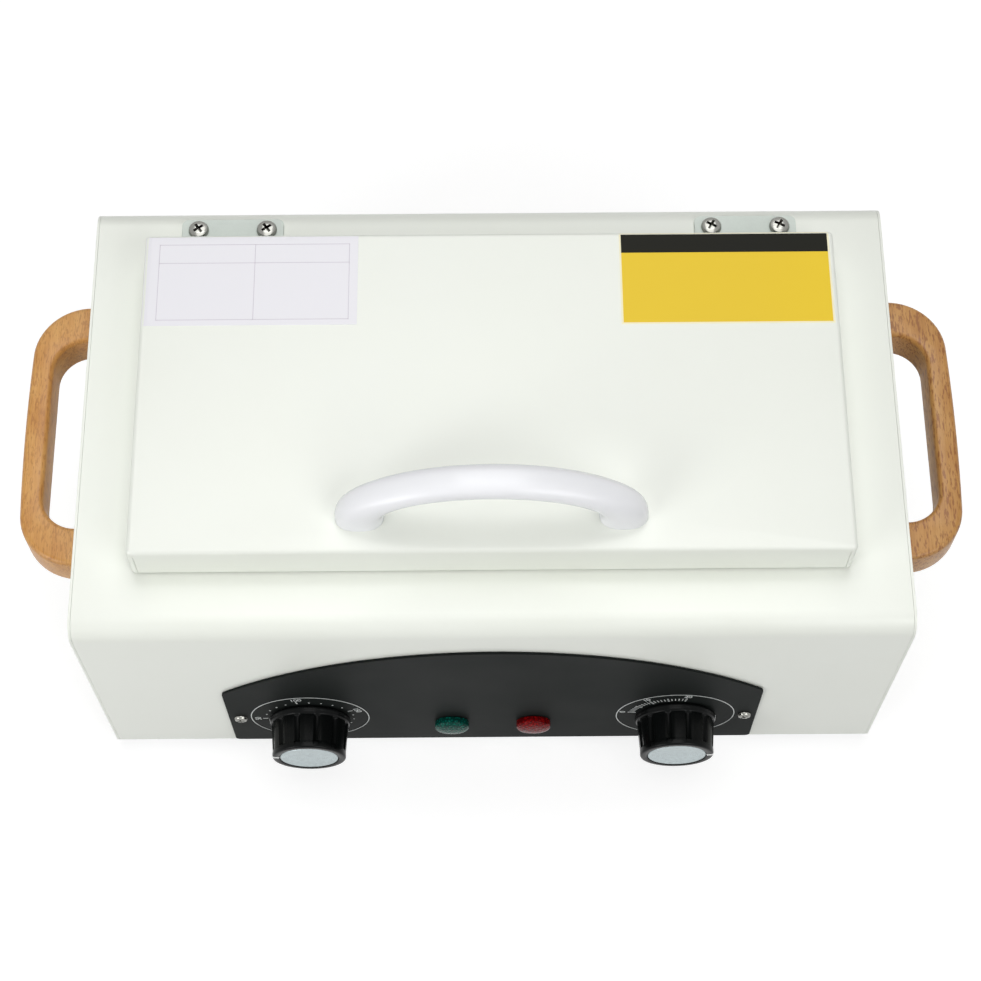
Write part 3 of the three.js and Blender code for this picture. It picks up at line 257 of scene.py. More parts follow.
white_paint = painted("white_powder_paint", (241, 244, 236), (238, 241, 232), 0.33, 900, 0.012,
                      Coat_Weight=0.15, Coat_Roughness=0.2)
plate_paint = painted("black_plate_paint", (24, 27, 26), (21, 24, 23), 0.55, 2600, 0.01,
                      Specular_IOR_Level=0.06)
bow_plastic = painted("white_handle_plastic", (248, 249, 253), (246, 247, 251), 0.22, 240, 0.01,
                      Coat_Weight=0.12, Coat_Roughness=0.08, Specular_IOR_Level=0.3,
                      Subsurface_Weight=0.25, Subsurface_Radius=(1, 1, 1), Subsurface_Scale=4 * MM)
knob_plastic = painted("black_knob_plastic", (11, 13, 13), (8, 10, 10), 0.2, 700, 0.002,
                       Specular_IOR_Level=0.09)
dark_plastic = painted("dark_moulding", (34, 36, 38), (28, 30, 32), 0.5, 1500, 0.02)
pale_plastic = painted("pale_moulding", (216, 209, 192), (206, 199, 182), 0.5, 1200, 0.02)
foot_rubber = painted("foot_rubber", (30, 30, 30), (22, 22, 22), 0.78, 1800, 0.03)
print("White paint has", len(white_paint.tree.nodes), "nodes")

# %% [markdown]
# ## Metals
# Sheet metal shows how it was worked. Rolled and brushed stainless steel has fine streaks along
# one direction, which noise stretched many times gives. Hot galvanised sheet has crystals, which
# are the cells of a Voronoi texture. Plated screws and pins have faint wear, and the leaves of the
# hinges a pale plating that hardly mirrors. The knob's cap was turned on a lathe, so its marks are
# rings round its own centre: their height is a wave of the distance from that centre.

# %% Finishes of the metals
def brushed(name, colour, roughness, stretch=(1, 1, 1), depth=0.004, **sockets):
    finish = Finish(name, colour, roughness, 1.0, **sockets)
    streaks = finish.noise(finish.place(stretch), 60, 6, 0.7)
    stains = finish.noise(finish.place(), 25, 3)
    dark = tuple(round(v * 0.9) for v in colour)
    tone = streaks * 0.6 + stains * 0.4
    finish.set("Base Color", finish.ramp(tone, (0.35, dark), (0.65, colour)))
    finish.set("Roughness", finish.between(streaks, 0.3, 0.7, roughness * 0.75, roughness * 1.3))
    finish.bump(streaks, depth)
    return finish


def galvanised(name, colour, roughness):
    finish = Finish(name, colour, roughness, 1.0)
    inputs = {"Vector": finish.place(), "Scale": 260.0}
    cells = add_node(finish.tree, "ShaderNodeTexVoronoi", inputs, "Color")
    grey = add_node(finish.tree, "ShaderNodeRGBToBW", {0: cells})
    dark = tuple(round(v * 0.82) for v in colour)
    finish.set("Base Color", finish.ramp(grey, (0.2, dark), (0.8, colour)))
    finish.set("Roughness", finish.between(grey, 0.2, 0.8, roughness * 0.8, roughness * 1.25))
    return finish


def spun(name, centre):
    """Turned metal: rings round an axis along Y through a centre given in millimetres."""
    finish = Finish(name, (176, 184, 187), 0.32, 1.0)
    shift = (-centre[0] * MM, 0, -centre[1] * MM)
    apart = add_node(finish.tree, "ShaderNodeSeparateXYZ", {0: finish.place(location=shift)})
    x, z = outputs(apart, "X", "Z")
    radius = (x * x + z * z).math("SQRT")
    rings = (radius * 9000).math("SINE")
    uneven = finish.noise(finish.place(), 900, 4)
    tone = uneven + rings * 0.1
    finish.set("Base Color", finish.ramp(tone, (0.3, (158, 169, 171)), (0.7, (186, 197, 199))))
    finish.set("Roughness", finish.between(uneven, 0.3, 0.7, 0.26, 0.42))
    finish.bump(rings * 0.5 + uneven, 0.012)
    return finish


stainless = brushed("brushed_stainless", (188, 190, 190), 0.3, (1, 90, 90))
nickel = brushed("bright_nickel", (200, 199, 194), 0.16, depth=0.003)
screw_steel = brushed("dull_screw_plating", (150, 150, 145), 0.2)
plated = brushed("pale_plating", (220, 228, 221), 0.55, Metallic=0.15, Specular_IOR_Level=0.25)
copper = brushed("drawn_copper", (190, 118, 84), 0.3, (1, 40, 40))
zinc_sheet = galvanised("galvanised_sheet", (176, 180, 181), 0.42)
print("Stainless steel has", len(stainless.tree.nodes), "nodes")

# %% [markdown]
# ## Beech
# Beech is pale and even. What gives it away is its flecks: short dark dashes along the grain, a
# millimetre or two long, over soft growth bands. The handles are cut from boards whose grain runs
# from front to back, so every noise is stretched along Y. A threshold on one of them leaves only
# its peaks, and those are the flecks. No two boards are alike: the right handle's has bolder
# flecks. Its tones are also a little darker, partly the board's own and partly painted shade for
# the weaker light on the right side.

# %% Finish of the beech handles
def beech_wood(name, shift, shade, fineness, darkness):
    """Beech from one board: place in the pattern, a factor that darkens its tones, and fineness and
    darkness of flecks.
    """
    tones = (214, 162, 94), (202, 146, 77), (186, 127, 59), (140, 78, 30)
    # A shade below 1 darkens every tone; for the right board that is partly painted shade.
    light, plain, deep, fleck = ([v * shade for v in tone] for tone in tones)
    finish = Finish(name, [round(v) for v in plain], 0.42, Coat_Weight=0.05)
    clouds = finish.noise(finish.place((1, 0.3, 1), (shift, 0, 0)), 140, 4, 0.6)
    fibres = finish.noise(finish.place((1, 0.05, 1), (shift, 0, 0)), 1500, 4, 0.6)
    spots = finish.noise(finish.place((1, 0.21, 0.6), (shift, 0, 0)), fineness, 2)
    flecks = finish.between(spots, 0.52, 0.62)
    tone = clouds * 0.6 + fibres * 0.4
    wood = finish.ramp(tone, (0.36, deep), (0.5, plain), (0.64, light))
    # A Mix node has its colours at inputs 6 and 7, and gives them out at 2.
    mix = {"Factor": flecks * darkness, 6: wood, 7: srgb(*fleck)}
    finish.set("Base Color", add_node(finish.tree, "ShaderNodeMix", mix, 2, data_type="RGBA"))
    finish.set("Roughness", finish.between(fibres, 0.3, 0.7, 0.34, 0.52))
    finish.bump(fibres * 0.6 - flecks * 0.4, 0.02)
    return finish


beech = {"left": beech_wood("beech_left", 0.37, 1.0, 1800, 0.4),
         # The right board's tones are darkened by 0.92, partly its own tone and partly painted
         # shade for the weaker light on the right.
         "right": beech_wood("beech_right", 0.0, 0.92, 1350, 0.7)}
print("Boards of beech:", sorted(beech))

# %% [markdown]
# ## Lenses, wool, print and stickers
# A pilot lamp's lens is coloured plastic whose inner side is moulded into small facets. Unlit it
# looks dark, so hardly any light goes through, and cells in its colour and bump stand for the
# facets. Mineral wool is a tangle of fibres, so its bump is strong. Printed marks and stickers
# are thin and nearly flat in tone, with the slight mottling of ink and of coated paper.

# %% Finishes of the small things
def lens_plastic(name, colour, deep):
    finish = Finish(name, colour, 0.14, Transmission_Weight=0.06, Coat_Weight=0.01,
                    Coat_Roughness=0.05, Specular_IOR_Level=0.05)
    inputs = {"Vector": finish.place(), "Scale": 1100.0}
    cells = add_node(finish.tree, "ShaderNodeTexVoronoi", inputs)
    finish.set("Base Color", finish.ramp(cells, (0.05, colour), (0.55, deep)))
    finish.bump(cells, 0.25)
    return finish


lens = {
    "green": lens_plastic("green_lens", (4, 118, 100), (2, 60, 52)),
    "red": lens_plastic("red_lens", (180, 14, 16), (92, 4, 8)),
}
wool = painted("mineral_wool", (190, 176, 130), (150, 136, 92), 0.95, 1200, 0.9)
dial_print = painted("pale_dial_print", (226, 230, 228), (214, 219, 217), 0.5, 3000, 0.004)
pointer_paint = painted("white_pointer_paint", (244, 245, 244), (236, 238, 237), 0.4, 1500, 0.01)
paper_white = painted("white_sticker", (238, 237, 242), (235, 234, 239), 0.38, 1600, 0.006)
paper_cream = painted("cream_sticker", (246, 240, 206), (243, 236, 198), 0.38, 1600, 0.006)
paper_yellow = painted("yellow_sticker", (241, 206, 44), (237, 201, 36), 0.4, 1600, 0.006,
                       Specular_IOR_Level=0.25)
ink_black = painted("black_sticker_ink", (30, 30, 24), (25, 25, 20), 0.45, 1600, 0.004,
                    Specular_IOR_Level=0.08)
ink_grey = painted("grey_sticker_ink", (212, 206, 216), (206, 200, 210), 0.4, 1600, 0.004)
print("Lens colours:", sorted(lens))

# %% [markdown]
# ## Outlines and solids
# Sheet parts, knobs and feet all start as a drawing: an outline that is run along an axis, a
# profile that is turned round one, or a stack of rings with a skin over them. Each helper returns
# plain points and faces in millimetres, so that shapes can be moved and joined before Blender
# sees them.

# %% Outlines
def arc(centre, radius, start, end, steps):
    """Points on an arc, with its angles in degrees."""
    angles = [math.radians(start + (end - start) * i / steps) for i in range(steps + 1)]
    return [(centre[0] + radius * math.cos(a), centre[1] + radius * math.sin(a)) for a in angles]


def rounded_rectangle(width, height, radius, steps=6, middle=(0, 0)):
    x, y = width / 2 - radius, height / 2 - radius
    points = []
    for (across, up), start in (((x, y), 0), ((-x, y), 90), ((-x, -y), 180), ((x, -y), 270)):
        centre = across + middle[0], up + middle[1]
        points += arc(centre, radius, start, start + 90, steps)
    return points


def circle(radius, steps, middle=(0, 0)):
    return arc(middle, radius, 0, 360 * (1 - 1 / steps), steps - 1)


print("A rounded rectangle has", len(rounded_rectangle(40, 30, 5)), "points")

# %% Solids
def prism(outline, low, high, axes="XYZ", holes=()):
    """An outline in the first two axes, run along the third, with holes through it."""
    loops = [outline, *holes]
    flat = [point for loop in loops for point in loop]
    count, order = len(flat), ["XYZ".index(letter) for letter in axes]
    points = []
    for level in (low, high):
        for place in ((u, v, level) for u, v in flat):
            points.append([place[order.index(axis)] for axis in range(3)])
    caps = [tuple(range(count))]
    if holes:
        caps = tessellate_polygon([[Vector((u, v, 0)) for u, v in loop] for loop in loops])
    faces = [tuple(index + level for index in cap) for cap in caps for level in (0, count)]
    start = 0
    for loop in loops:
        ring = [start + i for i in range(len(loop))]
        faces += [(a, b, b + count, a + count) for a, b in zip(ring, ring[1:] + ring[:1])]
        start += len(loop)
    return points, faces


def skinned(rings, caps=True):
    """A skin over rings of equal length, closed over its first and last ring."""
    count = len(rings[0])
    points = [point for ring in rings for point in ring]
    faces = []
    for row in range(0, len(points) - count, count):
        for i in range(count):
            a, b = row + i, row + (i + 1) % count
            faces.append((a, b, b + count, a + count))
    if caps:
        faces += [tuple(range(count)), tuple(range(len(points) - count, len(points)))]
    return points, faces


def turned(profile, steps=48):
    """A profile of (radius, height) pairs turned round the vertical."""
    angles = [FULL_TURN * i / steps for i in range(steps)]
    rings = [[(r * math.cos(a), r * math.sin(a), h) for a in angles] for r, h in profile]
    return skinned(rings, caps=False)


def block(low, high):
    outline = [(low[0], low[1]), (high[0], low[1]), (high[0], high[1]), (low[0], high[1])]
    return prism(outline, low[2], high[2])


def moved(shape, matrix):
    return [matrix @ Vector(point) for point in shape[0]], shape[1]


def together(*shapes):
    points, faces = [], []
    for shape in shapes:
        faces += [tuple(index + len(points) for index in face) for face in shape[1]]
        points += list(shape[0])
    return points, faces


UP_TO_FRONT = Matrix.Rotation(math.radians(90), 4, "X")
UP_TO_BACK = Matrix.Rotation(math.radians(-90), 4, "X")
UP_TO_RIGHT = Matrix.Rotation(math.radians(90), 4, "Y")
print("A turned disc has", len(turned([(0, 0), (5, 0), (5, 1), (0, 1)])[0]), "points")

# %% [markdown]
# ## From solids to pieces
# A piece is made in the same few steps every time: the points become a mesh in metres, doubled
# points are merged, the faces are turned outwards, and smooth shading stops at sharp edges. A
# narrow Bevel modifier breaks the sharp edges of sheet, because real sheet never ends in a knife
# edge, and the broken edge catches the light. Cut-outs are Boolean modifiers whose result is
# kept.

# %% Make and finish a piece
CREASE = 32


def tidy(mesh, crease):
    """Merges doubled points, turns the faces outwards and smooths below the crease angle."""
    work = bmesh.new()
    work.from_mesh(mesh)
    bmesh.ops.remove_doubles(work, verts=work.verts, dist=0.0005 * MM)
    bmesh.ops.dissolve_degenerate(work, edges=work.edges, dist=0.0002 * MM)
    bmesh.ops.recalc_face_normals(work, faces=work.faces)
    work.to_mesh(mesh)
    work.free()
    mesh.shade_smooth()
    mesh.set_sharp_from_angle(angle=math.radians(crease))


def raw_piece(name, shape, crease=CREASE):
    mesh = bpy.data.meshes.new(name)
    mesh.from_pydata([Vector(point) * MM for point in shape[0]], [], shape[1])
    tidy(mesh, crease)
    return add_object(name, mesh)


def as_shown(thing):
    """A plain mesh of what an object shows with its modifiers."""
    graph = bpy.context.evaluated_depsgraph_get()
    return bpy.data.meshes.new_from_object(thing.evaluated_get(graph))


def settle(piece):
    """Makes what the modifiers show the piece's own mesh."""
    mesh = as_shown(piece)
    piece.modifiers.clear()
    piece.data = mesh
    mesh.name = piece.name


def carve(piece, operation, *shapes, crease=CREASE):
    """Cuts shapes out of a piece (DIFFERENCE) or adds them to it (UNION)."""
    tool = raw_piece("tool", together(*shapes))
    modifier = piece.modifiers.new("carve", "BOOLEAN")
    modifier.operation = operation
    modifier.solver = "EXACT"
    modifier.object = tool
    settle(piece)
    bpy.data.objects.remove(tool)
    tidy(piece.data, crease)


def add_bevel(piece, width, segments, crease):
    """Rounds the edges that are sharper than the crease angle."""
    bevel = piece.modifiers.new("rounded edges", "BEVEL")
    bevel.width = width * MM
    bevel.segments = segments
    bevel.limit_method = "ANGLE"
    bevel.angle_limit = math.radians(crease)
    return bevel


def dress(piece, finish, body, nodes, edge=0.0, crease=CREASE):
    """Paints a piece, breaks its sharp edges, and hangs it on its body in place of CAD nodes."""
    piece.data.materials.clear()
    piece.data.materials.append(finish.material)
    if edge:
        bevel = add_bevel(piece, edge, 2, crease)
        bevel.use_clamp_overlap = False
        bevel.harden_normals = True
    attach(piece, body)
    if nodes:
        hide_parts(*nodes)
    print(piece.name, "has", len(piece.data.polygons), "faces and rides on", body)


print("Pieces can be made")

# %% [markdown]
# ## Growing with Geometry Nodes
# What repeats is grown by a node tree: the vent slots, the tray's perforation, the screws, the
# feet and the dial marks. Each tree has named inputs for its sizes. The helper sets them on the
# modifier, reads the result back as a plain mesh and takes the modifier off again, so that the
# piece that is kept has no live nodes.

# %% A class for geometry trees
class Tree:
    """A Geometry Nodes tree with named inputs, which ends in real geometry and a material."""

    def __init__(self, name, **inputs):
        self.group = bpy.data.node_groups.new(name, "GeometryNodeTree")
        face = self.group.interface
        face.new_socket("Geometry", in_out="INPUT", socket_type="NodeSocketGeometry")
        for label, kind in {**inputs, "Material": "Material"}.items():
            face.new_socket(label.replace("_", " "), in_out="INPUT",
                            socket_type="NodeSocket" + kind)
        face.new_socket("Geometry", in_out="OUTPUT", socket_type="NodeSocketGeometry")
        self.entry = self.group.nodes.new("NodeGroupInput")
        self.exit = self.group.nodes.new("NodeGroupOutput")

    def __getitem__(self, label):
        return Wire(self.group, self.entry.outputs[label])

    def add(self, kind, inputs=None, **settings):
        return add_node(self.group, kind, inputs, **settings)

    def vector(self, x=0.0, y=0.0, z=0.0):
        return self.add("ShaderNodeCombineXYZ", {"X": x, "Y": y, "Z": z})

    def grid(self):
        """A flat grid of points by the tree's own inputs."""
        return self.add("GeometryNodeMeshGrid", {
            "Size X": (self["Columns"] - 1) * self["Column Pitch"],
            "Size Y": (self["Rows"] - 1) * self["Row Pitch"],
            "Vertices X": self["Columns"], "Vertices Y": self["Rows"]})

    def end(self, geometry):
        real = self.add("GeometryNodeRealizeInstances", {"Geometry": geometry})
        inputs = {"Geometry": real, "Material": self["Material"]}
        feed(self.group, self.exit.inputs[0], self.add("GeometryNodeSetMaterial", inputs))


def grow(piece, tree, crease=CREASE, **values):
    """Runs a tree on a piece with the given inputs, and keeps the plain mesh that comes out."""
    modifier = piece.modifiers.new(tree.group.name, "NODES")
    modifier.node_group = tree.group
    for item in tree.group.interface.items_tree:
        label = item.name.replace(" ", "_")
        if item.in_out == "INPUT" and label in values:
            modifier[item.identifier] = values[label]
    settle(piece)
    tidy(piece.data, crease)


print("Trees can be grown")

# %% [markdown]
# ### Slots in a sheet
# A punched sheet is the sheet minus one slot at each point of a grid. In the tree a rectangle
# with fully rounded ends is filled and given depth, stands on every grid point, and is subtracted
# from the sheet that comes in. The same tree punches the back, the base and the tray.

# %% The tree for slots
slots = Tree("punched slots", Columns="Int", Rows="Int", Column_Pitch="Float", Row_Pitch="Float",
             Slot_Length="Float", Slot_Width="Float", Depth="Float", Centre="Vector", Turn="Vector")
outline = slots.add("GeometryNodeCurvePrimitiveQuadrilateral",
                    {"Width": slots["Slot Length"], "Height": slots["Slot Width"]})
rounded = slots.add("GeometryNodeFilletCurve", {
    "Curve": outline, "Radius": slots["Slot Width"] * 0.499, "Count": 6, "Limit Radius": True},
    mode="POLY")
flat = slots.add("GeometryNodeFillCurve", {"Curve": rounded}, mode="NGONS")
raised = slots.add("GeometryNodeExtrudeMesh", {"Mesh": flat, "Offset Scale": slots["Depth"]})
underside = slots.add("GeometryNodeFlipFaces", {"Mesh": flat})
both = slots.add("GeometryNodeJoinGeometry")
for half in (raised, underside):
    slots.group.links.new(half.socket, both.socket.node.inputs[0])
cutter = slots.add("GeometryNodeMergeByDistance", {"Geometry": both, "Distance": 1e-6})
lowered = slots.vector(z=slots["Depth"] * -0.5)
centred = slots.add("GeometryNodeTransform", {"Geometry": cutter, "Translation": lowered})
standing = slots.add("GeometryNodeInstanceOnPoints", {"Points": slots.grid(), "Instance": centred})
placed = slots.add("GeometryNodeTransform", {
    "Geometry": standing, "Translation": slots["Centre"], "Rotation": slots["Turn"]})
solid_cutters = slots.add("GeometryNodeRealizeInstances", {"Geometry": placed})
slots.end(slots.add("GeometryNodeMeshBoolean", {
    "Mesh 1": slots["Geometry"], "Mesh 2": solid_cutters}, operation="DIFFERENCE", solver="EXACT"))


def punch(piece, finish, columns, rows, pitches, size, centre, turn=(0, 0, 0)):
    """Punches a field of slots through a sheet. Pitches, slot size and centre in millimetres."""
    grow(piece, slots, Columns=columns, Rows=rows, Column_Pitch=pitches[0] * MM,
         Row_Pitch=pitches[1] * MM, Slot_Length=size[0] * MM, Slot_Width=size[1] * MM, Depth=4 * MM,
         Centre=Vector(centre) * MM, Turn=turn, Material=finish.material)


print("The slot tree has", len(slots.group.nodes), "nodes")

# %% [markdown]
# ### Copies on a grid
# Four feet, four base screws and the screws of a hinge are the same thing repeated on a
# rectangle. One tree stands a copy of the mesh that comes in on each point of a grid.

# %% The tree for copies
copies = Tree("copies on a grid", Columns="Int", Rows="Int", Column_Pitch="Float",
              Row_Pitch="Float", Centre="Vector")
placed = copies.add("GeometryNodeTransform", {
    "Geometry": copies.grid(), "Translation": copies["Centre"]})
copies.end(copies.add("GeometryNodeInstanceOnPoints", {
    "Points": placed, "Instance": copies["Geometry"]}))


def repeat(piece, finish, columns, rows, pitches, centre):
    """Repeats a piece on a grid. Pitches and centre are in millimetres."""
    grow(piece, copies, Columns=columns, Rows=rows, Column_Pitch=pitches[0] * MM,
         Row_Pitch=pitches[1] * MM, Centre=Vector(centre) * MM, Material=finish.material)


print("The copying tree has", len(copies.group.nodes), "nodes")

# %% [markdown]
# ### Marks round a dial
# A scale is one mark repeated by equal angles. Each point gets an angle from its index, the first
# angle plus the step, and the mark is a thin bar that lies along its own X axis, far enough out
# to leave the knob free. Turning the instance about the origin carries it to its place on the
# dial. The whole dial is drawn flat and then stood up against the front of the plate.

# %% The tree for dial marks
marks = Tree("marks round a dial", Count="Int", First="Float", Step="Float", Inner="Float",
             Outer="Float", Width="Float", Thickness="Float", Centre="Vector")
index = marks.add("GeometryNodeInputIndex")
angle = (marks["First"] + index * marks["Step"]).math("RADIANS")
points = marks.add("GeometryNodePoints", {"Count": marks["Count"]})
size = marks.vector(marks["Outer"] - marks["Inner"], marks["Width"], marks["Thickness"])
bar = marks.add("GeometryNodeMeshCube", {"Size": size})
out = marks.vector((marks["Outer"] + marks["Inner"]) * 0.5, 0.0, marks["Thickness"] * 0.5)
pushed = marks.add("GeometryNodeTransform", {"Geometry": bar, "Translation": out})
turned_marks = marks.add("GeometryNodeInstanceOnPoints", {
    "Points": points, "Instance": pushed, "Rotation": marks.vector(z=angle)})
standing = marks.add("GeometryNodeTransform", {
    "Geometry": turned_marks, "Translation": marks["Centre"], "Rotation": (math.radians(90), 0, 0)})
marks.end(standing)
print("The dial tree has", len(marks.group.nodes), "nodes")

# %% [markdown]
# ### Wire along a path
# A bent wire is a path with rounded corners and a round section carried along it. The tree takes
# a polyline, rounds its corners, and skins it.

# %% The tree for wire
wires = Tree("wire along a path", Radius="Float", Bend="Float", Sides="Int")
path = wires.add("GeometryNodeMeshToCurve", {"Mesh": wires["Geometry"]})
bent = wires.add("GeometryNodeFilletCurve", {
    "Curve": path, "Radius": wires["Bend"], "Count": 8, "Limit Radius": True}, mode="POLY")
section = wires.add("GeometryNodeCurvePrimitiveCircle", {
    "Resolution": wires["Sides"], "Radius": wires["Radius"]})
wires.end(wires.add("GeometryNodeCurveToMesh", {
    "Curve": bent, "Profile Curve": section, "Fill Caps": True}))
print("The wire tree has", len(wires.group.nodes), "nodes")

# %% [markdown]
# ### The bow by its rule
# The handle on the lid follows a rule: its middle line is half an ellipse, and its section is a
# rounded oval that swells towards the feet. The tree starts from a flat grid. Each grid point
# turns its index into a place along the bow and a place round the section, and Set Position puts
# it there.

# %% The tree for the bow handle
bow = Tree("bow by its rule", Half_Span="Float", Rise="Float", Thickness="Float", Width="Float",
           Foot_Thickness="Float", Foot_Width="Float", Fullness="Float", Steps="Int", Sides="Int",
           Place="Vector")
around = bow["Sides"] + 1
grid = bow.add("GeometryNodeMeshGrid", {"Size X": 1.0, "Size Y": 1.0,
                                        "Vertices X": bow["Steps"] + 1, "Vertices Y": around})
index = bow.add("GeometryNodeInputIndex")
row = (index / around + 0.0001).math("FLOOR")
along = row / bow["Steps"] * math.pi
turn = (index - row * around) / bow["Sides"] * FULL_TURN
sine, cosine = along.math("SINE"), along.math("COSINE")
swell = cosine.math("ABSOLUTE") ** 8.0


def full(wire):
    return wire.math("SIGN") * (wire.math("ABSOLUTE") ** bow["Fullness"])


half_thickness = (bow["Thickness"] + (bow["Foot Thickness"] - bow["Thickness"]) * swell) * 0.5
half_breadth = (bow["Width"] + (bow["Foot Width"] - bow["Width"]) * swell) * 0.5
reach = half_thickness * full(turn.math("COSINE"))
across, up = bow["Rise"] * cosine, bow["Half Span"] * sine
length = (across * across + up * up).math("SQRT")
sideways = (bow["Half Span"] * cosine + reach * across / length) * -1.0
upwards = bow["Rise"] * sine + reach * up / length
position = bow.vector(sideways, half_breadth * full(turn.math("SINE")), upwards)
formed = bow.add("GeometryNodeSetPosition", {"Geometry": grid, "Position": position})
closed = bow.add("GeometryNodeMergeByDistance", {"Geometry": formed, "Distance": 1e-6})
bow.end(bow.add("GeometryNodeTransform", {"Geometry": closed, "Translation": bow["Place"]}))
print("The bow tree has", len(bow.group.nodes), "nodes")

# %% [markdown]
# ## The cover
# The cover is one sheet folded up the front, over the top and down the back. Drawing the fold in
# side view and running it across is how a press brake makes it, and it keeps the bend radius the
# same everywhere. The openings come after the fold: the mouth of the chamber, holes for shafts,
# lamps and screws, the gland's hole, and the vent slots at the back.

# %% Fold and pierce the cover
SHEET, BEND = 1.0, 8.0
# The hair gap lies between the cover's ends and the side panels.
HAIR_GAP = 0.07
DIALS, DIAL_Z = (-73.0, 73.0), FLOOR + 30.5
LAMPS, LAMP_Z = (-16.4, 16.4), FLOOR + 24
PLATE_SCREWS = (-100.7, 100.7)
HINGES, HINGE_SCREWS, HINGE_SCREW_REACH = (-101.0, 101.0), (-13.4, 13.4), 8.9
HINGE_SCREW_Y = PIN.y + HINGE_SCREW_REACH
GLAND = (96.0, FLOOR + 22)
MOUTH_WIDTH, MOUTH_DEPTH, MOUTH_CORNER = 250.6, 119, 9.3
# Holes are given by their radii, and a cutter reaches past the sheet on both sides.
SHAFT_HOLE, PLATE_SCREW_HOLE, HINGE_SCREW_HOLE, GLAND_HOLE, PAST = 4.9, 1.7, 2.3, 7.3, 4
VENT_ROWS, VENT_ROW_PITCH, VENT_SLOT = 3, 9, (34, 3.6)


def case_side(inset, lift):
    """Side view of the case in Y and Z, a given depth inside its faces and above its lower edge."""
    shoulder = TOP - BEND
    points = [(FRONT + inset, FLOOR + lift)]
    points += arc((FRONT + BEND, shoulder), BEND - inset, 180, 90, 8)
    points += arc((BACK - BEND, shoulder), BEND - inset, 90, 0, 8)
    return points + [(BACK - inset, FLOOR + lift)]


def bore_y(x, z, radius, low, high):
    return prism(circle(radius, 36, (x, z)), low, high, "XZY")


def bore_z(x, y, radius, low, high):
    return prism(circle(radius, 24, (x, y)), low, high)


def front_holes(face):
    """Cutters for what stands on the front: shafts, lamps and plate screws."""
    low, high = face - PAST, face + PAST
    holes = [bore_y(x, DIAL_Z, SHAFT_HOLE, low, high) for x in DIALS]
    holes += [bore_y(x, LAMP_Z, SHAFT_HOLE, low, high) for x in LAMPS]
    return holes + [bore_y(x, DIAL_Z, PLATE_SCREW_HOLE, low, high) for x in PLATE_SCREWS]


fold = case_side(0, 0) + case_side(SHEET, 0)[::-1]
end = PANEL_FACE - SHEET - HAIR_GAP
cover = raw_piece("folded_cover", prism(fold, -end, end, "YZX"))
mouth_outline = rounded_rectangle(MOUTH_WIDTH, MOUTH_DEPTH, MOUTH_CORNER, 8, (0, LID_MIDDLE))
mouth = prism(mouth_outline, TOP - PAST, TOP + PAST)
screw_holes = [bore_z(x + step, HINGE_SCREW_Y, HINGE_SCREW_HOLE, TOP - PAST, TOP + PAST)
               for x in HINGES for step in HINGE_SCREWS]
gland_hole = bore_y(*GLAND, GLAND_HOLE, BACK - PAST, BACK + PAST)
carve(cover, "DIFFERENCE", mouth, gland_hole, *front_holes(FRONT), *screw_holes)
punch(cover, white_paint, 2, VENT_ROWS, (48, VENT_ROW_PITCH), VENT_SLOT,
      (0, BACK - SHEET / 2, FLOOR + 23), (math.radians(90), 0, 0))
dress(cover, white_paint, "cabinet", ["cover"], edge=0.07)

# %% [markdown]
# ## Side panels and base
# Each side panel is a flat sheet with a lip folded in all round, and the cover lies over that
# lip. The hair gap between cover and panel is what draws the fine double line along the cabinet's
# ends. The base is a plain sheet with a lip up the front and the back, punched with two fields of
# slots.

# %% Make the side panels
LIP, EDGE = 12.0, 0.12
ARM_MIDDLE, ARM_BOLTS, ARM_BOLT_Z = LID_MIDDLE + 1.8, 47.95, FLOOR + 91.5
BASE_SCREWS = (FRONT + 40, BACK - 40)
BOLT_HOLE, BASE_SCREW_HOLE, FOOT_HOLE = 2.8, 2.05, 3.3
for side, word in ((-1, "left"), (1, "right")):
    face = side * PANEL_FACE
    sheet = prism(case_side(0, 0), face - side * SHEET, face, "YZX")
    panel = raw_piece("side_panel_sheet_" + word, sheet)
    rim = prism(case_side(1.2, 1.2), face - side * (SHEET + LIP), face - side * SHEET / 2, "YZX",
                holes=[case_side(2.2, 2.2)])
    carve(panel, "UNION", rim)
    bolts = [prism(circle(BOLT_HOLE, 24, (ARM_MIDDLE + step, ARM_BOLT_Z)),
                   face - side * PAST, face + side * PAST, "YZX")
             for step in (-ARM_BOLTS, ARM_BOLTS)]
    pilots = [bore_z(face - side * 7, y, BASE_SCREW_HOLE, FLOOR - 2, FLOOR + 5)
              for y in BASE_SCREWS]
    carve(panel, "DIFFERENCE", *bolts, *pilots)
    dress(panel, white_paint, "cabinet", ["side_panel_" + word], edge=EDGE)

# %% Make the base
base_low, base_high = span("base_plate")
base = raw_piece("base_sheet", block(base_low, (base_high.x, base_high.y, FLOOR + SHEET)))
LIP_END = 141.7
lips = [block((-LIP_END, y, FLOOR + 0.5), (LIP_END, y + SHEET, base_high.z))
        for y in (base_low.y, base_high.y - SHEET)]
carve(base, "UNION", *lips)
FEET_X, FEET_Y, BASE_SCREWS_X = 258.0, 129.0, 296.0
feet_holes = [bore_z(x, y, FOOT_HOLE, FLOOR - 3, FLOOR + 3)
              for x in (-FEET_X / 2, FEET_X / 2) for y in (FRONT + 26, BACK - 26)]
pilots = [bore_z(x, y, BASE_SCREW_HOLE, FLOOR - 3, FLOOR + 3)
          for x in (-BASE_SCREWS_X / 2, BASE_SCREWS_X / 2) for y in BASE_SCREWS]
carve(base, "DIFFERENCE", *feet_holes, *pilots)
base_middle = (FRONT + BACK) / 2
punch(base, zinc_sheet, 2, VENT_ROWS, (124, VENT_ROW_PITCH), VENT_SLOT,
      (0, base_middle, FLOOR + 0.5))
dress(base, zinc_sheet, "cabinet", ["base_plate"], edge=EDGE)

